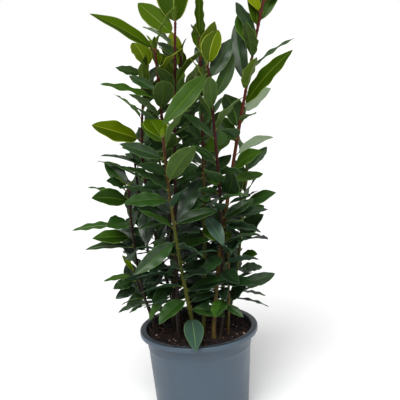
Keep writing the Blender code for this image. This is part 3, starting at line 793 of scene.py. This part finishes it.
def bladeFaces():
    # faces of one leaf, with their kind: 0 and 1 the upper skin's halves, 2 lower skin, 3 rib, 4 edge
    rows, columns = leafBlade["rows"], len(leafBlade["columns"])
    ribColumns = [k for k in range(columns - 1)
                  if max(map(abs, leafBlade["columns"][k:k + 2])) <= leafBlade["ribEdge"]]
    below = rows * columns
    faces, kinds = [], []
    for r in range(rows - 1):
        for k in range(columns - 1):
            a, b = r * columns + k, (r + 1) * columns + k
            faces += [(a, a + 1, b + 1, b), (below + a, below + b, below + b + 1, below + a + 1)]
            if k in ribColumns:
                kinds += [3, 3]
            elif k in (0, columns - 2):
                kinds += [4, 4]
            else:
                kinds += [int(k >= columns // 2), 2]
    border = list(range(columns))
    border += [r * columns + columns - 1 for r in range(1, rows)]
    border += [(rows - 1) * columns + k for k in range(columns - 2, -1, -1)]
    border += [r * columns for r in range(rows - 2, 0, -1)]
    for first, second in zip(border, border[1:] + border[:1]):
        faces.append((second, first, below + first, below + second))
        kinds.append(4)
    return np.array(faces), np.array(kinds)


def massOf(leaf):
    # the foliage node that a leaf stands for
    stem = stems[leaf["stem"]]
    if not stem["split"]:
        return f"foliage_{leaf['stem']}"
    return f"foliage_{leaf['stem']}_" + ("upper" if leaf["root"].z > stem["split"] else "lower")


def tintOf(leaf, rng):
    # leaders keep the tint they show in the photo, the rest darken from the shoot tips down
    draw = rng.random()
    if leaf["tint"]:
        return leaf["tint"]
    fromTip = stems[leaf["stem"]]["tip"][2] - leaf["root"].z
    height = leaf["root"].z + tintRule["drift"] * (draw - 0.5)
    if height > tintRule["brightFrom"] and fromTip < tintRule["brightReach"]:
        return "b"
    tints, often = next((tints, often) for lowest, tints, often in tintRule["bands"] if height > lowest)
    return tints[0] if draw < often else tints[1]


def shadesOf(leaf, rng):
    # for each half of one blade, which entry of paintedLeafLight it takes, painted shade, plain and painted
    # light being the choices; the leaders never take the painted light
    numbers = range(len(paintedLeafLight))
    weights = [often for shade, often in paintedLeafLight.values()]
    if leaf["stalked"]:
        weights[-1] = 0
    first, second = rng.choices(numbers, weights, k=2)
    return (first, first) if rng.random() < tintRule["sameShade"] else (first, second)


def dressLeaves():
    rng = random.Random(leafBlade["seed"])
    faces, kinds = bladeFaces()
    rows, columns = leafBlade["rows"], len(leafBlade["columns"])
    u = np.repeat(np.linspace(0, 1, rows), columns)
    w = np.tile((np.array(leafBlade["columns"]) + 1) / 2, rows)
    oneUv = np.tile(np.stack([u, w], 1), (2, 1))
    groups = {letter: [] for letter in leafTints}
    for leaf in leaves:
        upper, lower = bladeSheets(leaf, rng)
        leaf["tint"] = tintOf(leaf, rng)
        # under skin, rib and edge follow the painted shade, plain and painted light copies in the list of
        # materials
        slotOfKind = np.array([*shadesOf(leaf, rng), *range(len(paintedLeafLight), len(paintedLeafLight) + 3)])
        shape = np.concatenate([upper.reshape(-1, 3), lower.reshape(-1, 3)])
        groups[leaf["tint"]].append((leaf, shape, slotOfKind[kinds]))
    for letter, members in groups.items():
        label, top, under, rib, edge, roughness, specular, coat = leafTints[letter]
        # the top skin in its painted shade, plain and painted light copies
        materials = [leafMaterial(f"waxyLeaf{label}{name}", srgb(top, shade), roughness, specular, coat,
                                  leafVeins["upperStrength"]) for name, (shade, often) in paintedLeafLight.items()]
        materials += [
            leafMaterial(f"mattLeafUnderside{label}", srgb(under), leafVeins["underRoughness"],
                         leafVeins["dullSheen"], 0.0, leafVeins["underStrength"]),
            plainLeafMaterial(f"leafRib{label}", rib, leafVeins["ribRoughness"]),
            plainLeafMaterial(f"leafEdge{label}", edge, leafVeins["edgeRoughness"]),
        ]
        points, allFaces = stacked([(shape, faces) for leaf, shape, slots in members])
        allSlots = np.concatenate([slots for leaf, shape, slots in members])
        piece = joinedMesh(f"leaves{label}", points, allFaces, allSlots, materials,
                           np.tile(oneUv, (len(members), 1)))
        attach(piece, "root")
        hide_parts(*sorted({massOf(leaf) for leaf, shape, slots in members}))
        print("leaves", label, len(members), "with", len(allFaces) * 2, "triangles")


dressLeaves()


# Leaf stalks and buds: short round stalks, reddish on young shoots, and small pointed buds

stalkLook = {
    "sides": 6,
    "rings": 5,
    "radius": 0.00085,
    "intoBlade": 0.004,
    "rootSwell": 1.25,           # fuller where it leaves the stem, as a share of the radius
    "taper": 0.08,               # thinner by this share at each ring
    "endShare": 0.15,            # how thin it ends under the blade
    "capShare": 0.05, "capLength": 0.0002,
    "roughness": 0.45,
    "red": "#6A3424",
    "green": "#5E6A2C",
}
budLook = {
    "seed": 77,
    "share": 0.55,               # of the leaf roots that have one
    "length": (0.0035, 0.0055),
    "radius": 0.0011,
    "sides": 6,
    "outline": ((0.0, 0.5), (0.3, 1.0), (0.6, 0.8), (0.85, 0.35), (1.0, 0.04)),   # along it, and how full
    "seat": 0.8,                 # how far out on the stem it sits, as a share of the stem's radius
    "above": 0.0018,             # its leaf's root
    "lean": 0.5,
    "tipLength": 0.009, "tipRadius": 0.0019, "tipSunk": 0.001,
    "tipStretch": 0.01,          # the last stretch of a shoot, which its tip bud follows
    "roughness": 0.45,
    "colour": "#5E642A",
}


def tubeShape(points, radii, sides):
    # rings of a tube along a row of points, closed at both ends by its own collapsing rings
    points = [Vector(p) for p in points]
    rings = []
    for k, (point, radius) in enumerate(zip(points, radii)):
        ahead = points[min(k + 1, len(points) - 1)] - points[max(k - 1, 0)]
        if k == 0:
            across = ahead.orthogonal()
        across = (across - ahead * (across.dot(ahead) / ahead.length_squared)).normalized()
        other = ahead.normalized().cross(across)
        rings.append([point + (across * math.cos(a) + other * math.sin(a)) * radius
                      for a in (2 * math.pi * s / sides for s in range(sides))])
    shape = np.array([tuple(p) for ring in rings for p in ring])
    faces = []
    for k in range(len(points) - 1):
        for s in range(sides):
            first, second = k * sides + s, k * sides + (s + 1) % sides
            faces.append((first, second, second + sides, first + sides))
    return shape, faces


def stalkTube(leaf, c):
    # from inside the stem to under the blade's rib
    along, side, face = leaf["frame"]
    reach = leaf["stalkLength"] + c["intoBlade"]
    distances = [reach * k / (c["rings"] - 1) for k in range(c["rings"])]
    path = [leaf["root"] + along * distance
            + face * (archLift(leaf["length"], distance / leaf["length"]) - c["radius"])
            for distance in distances]
    path.insert(0, path[0] - along * c["capLength"])
    shares = [c["capShare"], c["rootSwell"], *(1 - c["taper"] * k for k in range(1, c["rings"] - 1)),
              c["endShare"]]
    return tubeShape(path, [c["radius"] * share for share in shares], c["sides"])


def makeStalks(c):
    tubes = [stalkTube(leaf, c) for leaf in leaves]
    facesEach = len(tubes[0][1])
    slots = np.repeat([0 if leaf["tint"] in "by" else 1 for leaf in leaves], facesEach)
    materials = [plainLeafMaterial("reddishStalk", c["red"], c["roughness"]),
                 plainLeafMaterial("greenStalk", c["green"], c["roughness"])]
    piece = joinedMesh("leafStalks", *stacked(tubes), slots, materials)
    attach(piece, "root")
    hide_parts(*sorted({massOf(leaf) for leaf in leaves}))


def budTube(root, along, length, radius, c):
    return tubeShape([root + along * (length * share) for share, full in c["outline"]],
                     [radius * full for share, full in c["outline"]], c["sides"])


def makeBuds(c):
    rng = random.Random(c["seed"])
    tubes = []
    for leaf in leaves:
        draw, length = rng.random(), rng.uniform(*c["length"])
        if draw < c["share"]:
            out = leaf["frame"][0].copy()
            out.z = 0
            out.normalize()
            seat = stemRadius(stems[leaf["stem"]], leaf["root"].z) * c["seat"]
            root = leaf["root"] + out * seat + Vector((0, 0, c["above"]))
            along = (out * c["lean"] + Vector((0, 0, 1))).normalized()
            tubes.append(budTube(root, along, length, c["radius"], c))
    for stem in stems.values():
        top = stem["tip"][2]
        tip = stemPoint(stem, top)
        along = (tip - stemPoint(stem, top - c["tipStretch"])).normalized()
        tubes.append(budTube(tip - along * c["tipSunk"], along, c["tipLength"], c["tipRadius"], c))
    points, faces = stacked(tubes)
    piece = joinedMesh("buds", points, faces, np.zeros(len(faces)),
                       [plainLeafMaterial("budScales", c["colour"], c["roughness"])])
    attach(piece, "root")
    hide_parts(*sorted({massOf(leaf) for leaf in leaves}))


makeStalks(stalkLook)
makeBuds(budLook)
print("stalks and buds made")


# Stems: thin smooth bark, swollen a little at each leaf, its colour changing with age

barkLook = {
    "step": 0.006,               # metres between the curve's points
    "firstStep": 0.001,
    "sides": 4,                  # bevel resolution, 12 sides round
    "sunk": 0.004,
    "weld": 0.00001,
    "thicken": 0.0006,           # how much fuller the live bark is at a shoot's tip
    "knot": 0.22,                # swelling at a leaf's root
    "knotReach": 0.0022,
    "relief": 0.00044, "reliefSize": 0.006,
    "roughness": 0.5, "sheen": 0.2,
    "patchScale": 70.0, "patchShift": 0.10,      # patches of 14 mm take a colour from 50 mm up or down
    "speckScale": (900.0, 900.0, 260.0),         # lenticels about 1 mm wide and 4 mm long
    "speckFrom": 0.60, "speckTo": 0.72, "speckShare": 0.20,
    "speckColour": "#74463A",
    "bump": 0.5, "bumpHeight": 0.0003,
}
barkColours = {
    # bark by age from the foot up: (height above the floor in metres, colour)
    "maroon": ((0.141, "#1A140B"), (0.250, "#1E130A"), (0.360, "#240E0A"),
               (0.450, "#320809"), (0.600, "#3E0A0C"), (0.700, "#521A14")),
    "olive": ((0.141, "#3C3812"), (0.200, "#4A4C12"), (0.300, "#424810"),
              (0.450, "#401E0C"), (0.600, "#400D0C"), (0.700, "#521A14")),
    "amber": ((0.141, "#4A3A18"), (0.200, "#5A4A1C"), (0.300, "#523A12"),
              (0.450, "#54200C"), (0.600, "#420D0C"), (0.700, "#521A14")),
}
stemBarks = {"front": "olive", "mid_right": "olive", "right_tall": "amber", "right_edge": "olive",
             "back": "olive", "back_right": "olive", "right_front": "amber"}


def barkMaterial(name, bands, c):
    # thin living bark over green wood: satin, with lenticels as pale specks along it
    mat, tree, shader = newMaterial(name, bands[0][1], c["roughness"], specular=c["sheen"])
    coords = addNode(tree, "ShaderNodeTexCoord")
    parts = addNode(tree, "ShaderNodeSeparateXYZ", links={"Vector": (coords, "Object")})
    patches = addNode(tree, "ShaderNodeTexNoise", values={"Scale": c["patchScale"], "Detail": 3.0},
                      links={"Vector": (coords, "Object")})
    shift = addNode(tree, "ShaderNodeMath", {"operation": "MULTIPLY_ADD"},
                    {1: c["patchShift"], 2: -c["patchShift"] / 2}, {0: (patches, "Fac")})
    height = addNode(tree, "ShaderNodeMath", {"operation": "ADD"},
                     links={0: (parts, "Z"), 1: (shift, "Value")})
    colours = addNode(tree, "ShaderNodeValToRGB", links={"Fac": (height, "Value")}, stops=bands)
    stretched = addNode(tree, "ShaderNodeMapping", values={"Scale": c["speckScale"]},
                        links={"Vector": (coords, "Object")})
    specks = addNode(tree, "ShaderNodeTexNoise", values={"Scale": 1.0, "Detail": 2.0},
                     links={"Vector": (stretched, "Vector")})
    speckShare = addNode(tree, "ShaderNodeMapRange", links={"Value": (specks, "Fac")},
                         values={"From Min": c["speckFrom"], "From Max": c["speckTo"],
                                 "To Max": c["speckShare"]})
    mixed = addNode(tree, "ShaderNodeMix", {"data_type": "RGBA"}, {7: srgb(c["speckColour"])},
                    {"Factor": (speckShare, "Result"), 6: (colours, "Color")})
    tree.links.new(mixed.outputs[2], shader.inputs["Base Color"])
    bump = addNode(tree, "ShaderNodeBump", links={"Height": (specks, "Fac")},
                   values={"Strength": c["bump"], "Distance": c["bumpHeight"]})
    tree.links.new(bump.outputs["Normal"], shader.inputs["Normal"])
    return mat


def makeStem(name, c, mat):
    stem = stems[name]
    roots = sorted(leaf["root"].z for leaf in leaves if leaf["stem"] == name)
    top = stem["tip"][2]
    heights = set(np.round(np.arange(soilTop + c["firstStep"], top, c["step"]), 5)) | {top}
    for root in roots:
        heights |= {root - c["knotReach"], root, root + c["knotReach"]}
    heights = sorted(h for h in heights if h <= top)
    data = bpy.data.curves.new(f"bark_{name}", "CURVE")
    data.dimensions = "3D"
    data.bevel_depth = 1
    data.bevel_resolution = c["sides"]
    data.use_fill_caps = True
    spline = data.splines.new("POLY")
    spline.points.add(len(heights))
    spline.points[0].co = (*stemPoint(stem, soilTop)[0:2], soilTop - c["sunk"], 1)
    spline.points[0].radius = stemRadius(stem, soilTop)
    for point, height in zip(spline.points[1:], heights):
        knot = max((1 - abs(height - root) / c["knotReach"] for root in roots), default=0)
        point.co = (*stemPoint(stem, height), 1)
        full = stemRadius(stem, height) + c["thicken"] * (height - soilTop) / (top - soilTop)
        point.radius = full * (1 + c["knot"] * max(knot, 0))
    piece = bpy.data.objects.new(f"bark_{name}", data)
    bpy.context.scene.collection.objects.link(piece)
    selectOnly(piece)
    bpy.ops.object.convert(target="MESH")
    piece = bpy.context.object
    weld = piece.modifiers.new("Weld caps", "WELD")
    weld.merge_threshold = c["weld"]
    bpy.ops.object.modifier_apply(modifier=weld.name)
    roughen(piece, f"relief_{name}", c["relief"], c["reliefSize"])
    piece.data.materials.append(mat)
    smoothShade(piece)
    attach(piece, "root")
    masses = [f"foliage_{name}"] if not stem["split"] else [f"foliage_{name}_lower", f"foliage_{name}_upper"]
    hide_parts(f"stem_{name}", *masses)


barkMaterials = {kind: barkMaterial(f"{kind}Bark", bands, barkLook) for kind, bands in barkColours.items()}
for name in stems:
    makeStem(name, barkLook, barkMaterials[stemBarks.get(name, "maroon")])
print("stems made")


# Pot: vacuum-formed polypropylene, satin, with a rolled lip and a shallow collar under it

potShell = {
    "steps": 128,
    "wall": 0.0016,
    "lipWidth": 0.0085, "lipDepth": 0.0075, "lipRound": 0.0011,
    "bodyTop": 0.0843, "base": 0.074, "floor": 0.0025, "chamfer": 0.003,
    "sideFrom": 0.02, "sideRows": 6,
    "collarDrop": 0.028, "collarStep": 0.0004, "underCollar": 0.006,
    "lipTopFrom": 0.1494,
    "rings": (0.1385, 0.1225),        # faint moulded rings under the lip
    "ringHeight": 0.0005, "ringBelow": 0.0012, "ringAbove": 0.0014,
    "lipEase": 0.001, "lipFoot": 0.0004, "footInset": 0.0002,
    "taperTo": 0.06,
    "holeCount": 8, "holeRadius": 0.006, "holeRing": 0.058, "holeSides": 32,
    # the painted shade on the pot's inside reaches this far under the compost top
    "smoothAngle": 40, "shadeBelowSoil": 0.01,
    "colour": "#3D4D5B", "roughness": 0.42,
    # a darker plastic colour, painted shade for the lip's top and the pot's inside
    "lipShadeColour": "#2B3239", "lipRoughness": 0.34,
    "dustScale": 14.0,                # dust in patches of 70 mm
    "dust": {"From Min": 0.35, "From Max": 0.7, "To Min": 0.36, "To Max": 0.52},
    "grainScale": 900.0,              # moulding grain of 1 mm, coarser than the real one so that it shows
    "bump": 0.12, "bumpHeight": 0.0002,
}


def bodyRadius(c, height):
    return c["base"] + (c["bodyTop"] - c["base"]) * height / (potHeight - c["lipDepth"])


def potProfile(c):
    # rows of (radius, height): up the outside, over the rolled lip and down the inside to the floor
    wall, curve, ease = c["wall"], c["lipRound"], c["lipEase"]
    top, lipBottom, collar = potHeight, potHeight - c["lipDepth"], potHeight - c["collarDrop"]
    innerRim = rimRadius - c["lipWidth"]
    outside = [(c["base"] - c["chamfer"], 0), (c["base"] - c["chamfer"] * 0.35, c["chamfer"] * 0.25),
               (bodyRadius(c, c["chamfer"]), c["chamfer"])]
    for height in np.linspace(c["sideFrom"], collar - c["underCollar"], c["sideRows"]):
        outside.append((bodyRadius(c, height), height))
    for ring in sorted(c["rings"]):
        step = c["collarStep"] if ring > collar else 0
        below, above = ring - c["ringBelow"], ring + c["ringAbove"]
        outside += [(bodyRadius(c, below) + step, below),
                    (bodyRadius(c, ring) + c["collarStep"] + c["ringHeight"], ring),
                    (bodyRadius(c, above) + c["collarStep"], above)]
    outside.append((bodyRadius(c, lipBottom) + c["collarStep"], lipBottom - wall))
    lip = [(innerRim, top - 2.4 * wall), (innerRim + ease, top - 2 * wall),
           (rimRadius - wall - ease, top - 2 * wall), (rimRadius - wall, top - 2.6 * wall),
           (rimRadius - wall, lipBottom), (rimRadius - c["footInset"], lipBottom),
           (rimRadius, lipBottom + c["lipFoot"]), (rimRadius, top - 2 * curve),
           (rimRadius - 0.3 * curve, top - curve), (rimRadius - curve, top - 0.3 * curve),
           (rimRadius - 2 * curve, top), (innerRim + 0.4 * curve, top),
           (innerRim - 0.6 * curve, top - 0.3 * curve), (innerRim - 1.2 * curve, top - curve),
           (innerRim - wall, top - 2.2 * curve)]
    inside = [(innerRim - wall, lipBottom)]
    inside += [(bodyRadius(c, height) - wall, height)
               for height in (collar, c["taperTo"], c["floor"] + c["chamfer"])]
    inside.append((c["base"] - wall - c["chamfer"], c["floor"]))
    return outside + lip + inside


def drillHole(piece, place, c):
    bpy.ops.mesh.primitive_cylinder_add(vertices=c["holeSides"], radius=c["holeRadius"],
                                        depth=4 * c["floor"], location=place)
    cutter = bpy.context.object
    drain = piece.modifiers.new("Drain hole", "BOOLEAN")
    drain.operation = "DIFFERENCE"
    drain.object = cutter
    bpy.context.view_layer.objects.active = piece
    bpy.ops.object.modifier_apply(modifier=drain.name)
    bpy.data.objects.remove(cutter)


def potPlastic(c):
    # satin plastic: a soft broad shine, faint moulding grain and a bloom of dust
    mat, tree, shader = newMaterial("satinPlastic", c["colour"], c["roughness"])
    coords = addNode(tree, "ShaderNodeTexCoord")
    bloom = addNode(tree, "ShaderNodeTexNoise", values={"Scale": c["dustScale"], "Detail": 4.0},
                    links={"Vector": (coords, "Object")})
    dust = addNode(tree, "ShaderNodeMapRange", values=c["dust"], links={"Value": (bloom, "Fac")})
    tree.links.new(dust.outputs["Result"], shader.inputs["Roughness"])
    grain = addNode(tree, "ShaderNodeTexNoise", values={"Scale": c["grainScale"], "Detail": 2.0},
                    links={"Vector": (coords, "Object")})
    bump = addNode(tree, "ShaderNodeBump", links={"Height": (grain, "Fac")},
                   values={"Strength": c["bump"], "Distance": c["bumpHeight"]})
    tree.links.new(bump.outputs["Normal"], shader.inputs["Normal"])
    return mat


def makePot(c):
    piece = turnedSolid("potShell", potProfile(c), c["steps"])
    for number in range(c["holeCount"]):
        angle = 2 * math.pi * (number + 0.5) / c["holeCount"]
        x, y = c["holeRing"] * math.cos(angle), c["holeRing"] * math.sin(angle)
        drillHole(piece, (x, y, c["floor"] / 2), c)
    smoothShade(piece, c["smoothAngle"])
    piece.data.materials.append(potPlastic(c))
    piece.data.materials.append(newMaterial("paintedShadeLipPlastic", c["lipShadeColour"], c["lipRoughness"])[0])
    for face in piece.data.polygons:
        # painted shade: the lip's top and the inside of the pot, down to just under the compost, take a
        # darker plastic colour
        facesIn = face.normal.x * face.center.x + face.normal.y * face.center.y < 0
        if face.center.z > c["lipTopFrom"] or (facesIn and face.center.z > soilTop - c["shadeBelowSoil"]):
            face.material_index = 1
    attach(piece, "root")
    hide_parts("pot")


makePot(potShell)
print("pot made")


# Compost: a dark crumbly bed with bark fibres and a few pale chips, some standing up

compostBed = {
    "rings": 46, "spokes": 150,
    "edgeRadius": 0.0838,
    "edgeDrop": 0.003, "edgeRings": 4,      # the bed slopes up over its outer rings
    "depth": 0.010,
    "lumps": 0.0030, "lumpSize": 0.010,
    "grains": 0.0016, "grainSize": 0.0035,
    "middle": 0.6, "smoothAngle": 60,
    "colours": ("#080505", "#150B08"), "noiseScale": 420.0,      # crumbs of 2 mm
}
compostBits = {
    "seed": 23,
    "crumbs": 1500, "crumbSize": (0.0008, 0.0026),
    "fibres": 620, "fibreLength": (0.004, 0.015), "fibreWidth": (0.0006, 0.0018), "fibreFlat": 0.5,
    "chips": 70, "chipLength": (0.003, 0.009), "chipWidth": (0.0018, 0.0040), "chipThickness": 0.0012,
    "paleChips": 22, "paleSize": (0.6, 0.7),          # of a chip's length and width
    "bedRadius": 0.081,
    "lift": (0.0, 0.0022),
    "corners": (0.6, 1.15),                           # how far a crumb's corners stand out
    "turns": ((0, 6.28, "Z"), (-0.6, 0.6, "Y"), (-0.5, 0.5, "X")),        # radians
}
bitColours = {
    # dark and light colour, and the scale of the pattern between them
    "Crumbs": ("#0D0807", "#1A0F0B", 300.0),
    "Fibres": ("#2A140E", "#3E2115", 200.0),
    "Chips": ("#5A382C", "#2E1A14", 160.0),
    "PaleChips": ("#A58A78", "#8A6F60", 160.0),
}
peatLook = {
    "roughness": 0.9,
    "darkTo": 0.40, "warmFrom": 0.68,
    "bump": 0.7, "bumpHeight": 0.0006,
}


def compostMaterial(name, colour, warm, scale):
    # damp peat: nearly black, dull, with warmer crumbs showing through
    mat, tree, shader = newMaterial(name, colour, peatLook["roughness"])
    coords = addNode(tree, "ShaderNodeTexCoord")
    noise = addNode(tree, "ShaderNodeTexNoise", values={"Scale": scale, "Detail": 3.0},
                    links={"Vector": (coords, "Object")})
    colours = addNode(tree, "ShaderNodeValToRGB", links={"Fac": (noise, "Fac")},
                      stops=((peatLook["darkTo"], colour), (peatLook["warmFrom"], warm)))
    tree.links.new(colours.outputs["Color"], shader.inputs["Base Color"])
    bump = addNode(tree, "ShaderNodeBump", links={"Height": (noise, "Fac")},
                   values={"Strength": peatLook["bump"], "Distance": peatLook["bumpHeight"]})
    tree.links.new(bump.outputs["Normal"], shader.inputs["Normal"])
    return mat


def makeBed(c):
    height = soilTop - c["edgeDrop"]
    profile = [(c["edgeRadius"], soilTop - c["depth"]), (c["edgeRadius"], height)]
    for ring in range(c["rings"] - 1, 0, -1):
        if ring >= c["rings"] - c["edgeRings"]:
            height += c["edgeDrop"] / c["edgeRings"]
        profile.append((c["edgeRadius"] * ring / c["rings"], height))
    piece = turnedSolid("compostBed", profile, c["spokes"])
    roughen(piece, "Lumps", c["lumps"], c["lumpSize"], c["middle"], "Z")
    roughen(piece, "Grains", c["grains"], c["grainSize"], c["middle"], "Z")
    smoothShade(piece, c["smoothAngle"])
    piece.data.materials.append(compostMaterial("peatCompost", *c["colours"], c["noiseScale"]))
    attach(piece, "root")
    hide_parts("soil")


def bedPlaces(rng, c, count):
    for _ in range(count):
        radius, angle = c["bedRadius"] * math.sqrt(rng.random()), rng.uniform(0, 2 * math.pi)
        yield Vector((radius * math.cos(angle), radius * math.sin(angle), soilTop + rng.uniform(*c["lift"])))


def lump(rng, place, size):
    # a rough eight-cornered crumb
    corners = []
    for z in (-1, 1):
        for x, y in ((-1, -1), (1, -1), (1, 1), (-1, 1)):
            corner = Vector((x * size[0], y * size[1], z * size[2])) / 2
            corners.append(corner * rng.uniform(*compostBits["corners"]))
    turn = Matrix.Identity(3)
    for least, most, axis in compostBits["turns"]:
        turn = turn @ Matrix.Rotation(rng.uniform(least, most), 3, axis)
    return [place + turn @ corner for corner in corners]


def scatterBits(name, lumps):
    box = ((0, 3, 2, 1), (4, 5, 6, 7), (0, 1, 5, 4), (1, 2, 6, 5), (2, 3, 7, 6), (3, 0, 4, 7))
    points, faces = stacked([([tuple(point) for point in corners], box) for corners in lumps])
    mat = compostMaterial(f"bark{name}", *bitColours[name])
    piece = joinedMesh(f"compost{name}", points, faces, np.zeros(len(faces)), [mat])
    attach(piece, "root")
    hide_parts("soil")


def makeBits(c):
    rng = random.Random(c["seed"])
    bits = {name: [] for name in bitColours}
    for place in bedPlaces(rng, c, c["crumbs"]):
        size = [rng.uniform(*c["crumbSize"]) for _ in range(3)]
        bits["Crumbs"].append(lump(rng, place, size))
    for place in bedPlaces(rng, c, c["fibres"]):
        width = rng.uniform(*c["fibreWidth"])
        length = rng.uniform(*c["fibreLength"])
        bits["Fibres"].append(lump(rng, place, (length, width, width * c["fibreFlat"])))
    for name, count, share in (("Chips", c["chips"], (1, 1)), ("PaleChips", c["paleChips"], c["paleSize"])):
        for place in bedPlaces(rng, c, count):
            length, width = rng.uniform(*c["chipLength"]), rng.uniform(*c["chipWidth"])
            size = (length * share[0], width * share[1], c["chipThickness"])
            bits[name].append(lump(rng, place, size))
    for name, lumps in bits.items():
        scatterBits(name, lumps)


makeBed(compostBed)
makeBits(compostBits)
print("compost made")


# Floor and light: a plain pale floor, broad soft daylight from the upper left front, and a pale room

studio = {
    "floorSize": 60,
    "floorColour": "#FAFAFA", "floorRoughness": 0.95,
    "roomColour": "#FFFFFF",
    "roomLight": 0.50,            # the pale room as the plant sees it
    "backdrop": 1.0,              # and as the photo shows it behind the plant
    "sunStrength": 2.8, "sunAngle": 38, "sunFrom": (-0.26, -0.78, 1.0),
    "fillSize": 1.2, "fillPower": 7, "fillFrom": (1.6, -1.0, 1.0), "fillAt": (0, 0, 0.35),
}


def makeStudio(c):
    bpy.ops.mesh.primitive_plane_add(size=c["floorSize"])
    floor = bpy.context.object
    floor.name = "floor"
    floor.data.materials.append(newMaterial("matteBackdrop", c["floorColour"], c["floorRoughness"])[0])
    world = bpy.data.worlds.new("paleRoom")
    world.use_nodes = True
    tree = world.node_tree
    path = addNode(tree, "ShaderNodeLightPath")
    strength = addNode(tree, "ShaderNodeMapRange", links={"Value": (path, "Is Camera Ray")},
                       values={"To Min": c["roomLight"], "To Max": c["backdrop"]})
    background = tree.nodes["Background"]
    background.inputs["Color"].default_value = srgb(c["roomColour"])
    tree.links.new(strength.outputs["Result"], background.inputs["Strength"])
    bpy.context.scene.world = world
    bpy.ops.object.light_add(type="SUN")
    sun = bpy.context.object
    sun.name = "skylight"
    sun.data.energy = c["sunStrength"]
    sun.data.angle = math.radians(c["sunAngle"])
    sun.rotation_euler = Vector(c["sunFrom"]).to_track_quat("Z", "Y").to_euler()
    bpy.ops.object.light_add(type="AREA", location=c["fillFrom"])
    lamp = bpy.context.object
    lamp.name = "fillLamp"
    lamp.data.shape = "DISK"
    lamp.data.size = c["fillSize"]
    lamp.data.energy = c["fillPower"]
    aim = Vector(c["fillAt"]) - Vector(c["fillFrom"])
    lamp.rotation_euler = aim.to_track_quat("-Z", "Y").to_euler()
    bpy.context.scene.view_settings.view_transform = "Standard"


makeStudio(studio)
print("floor and light made")
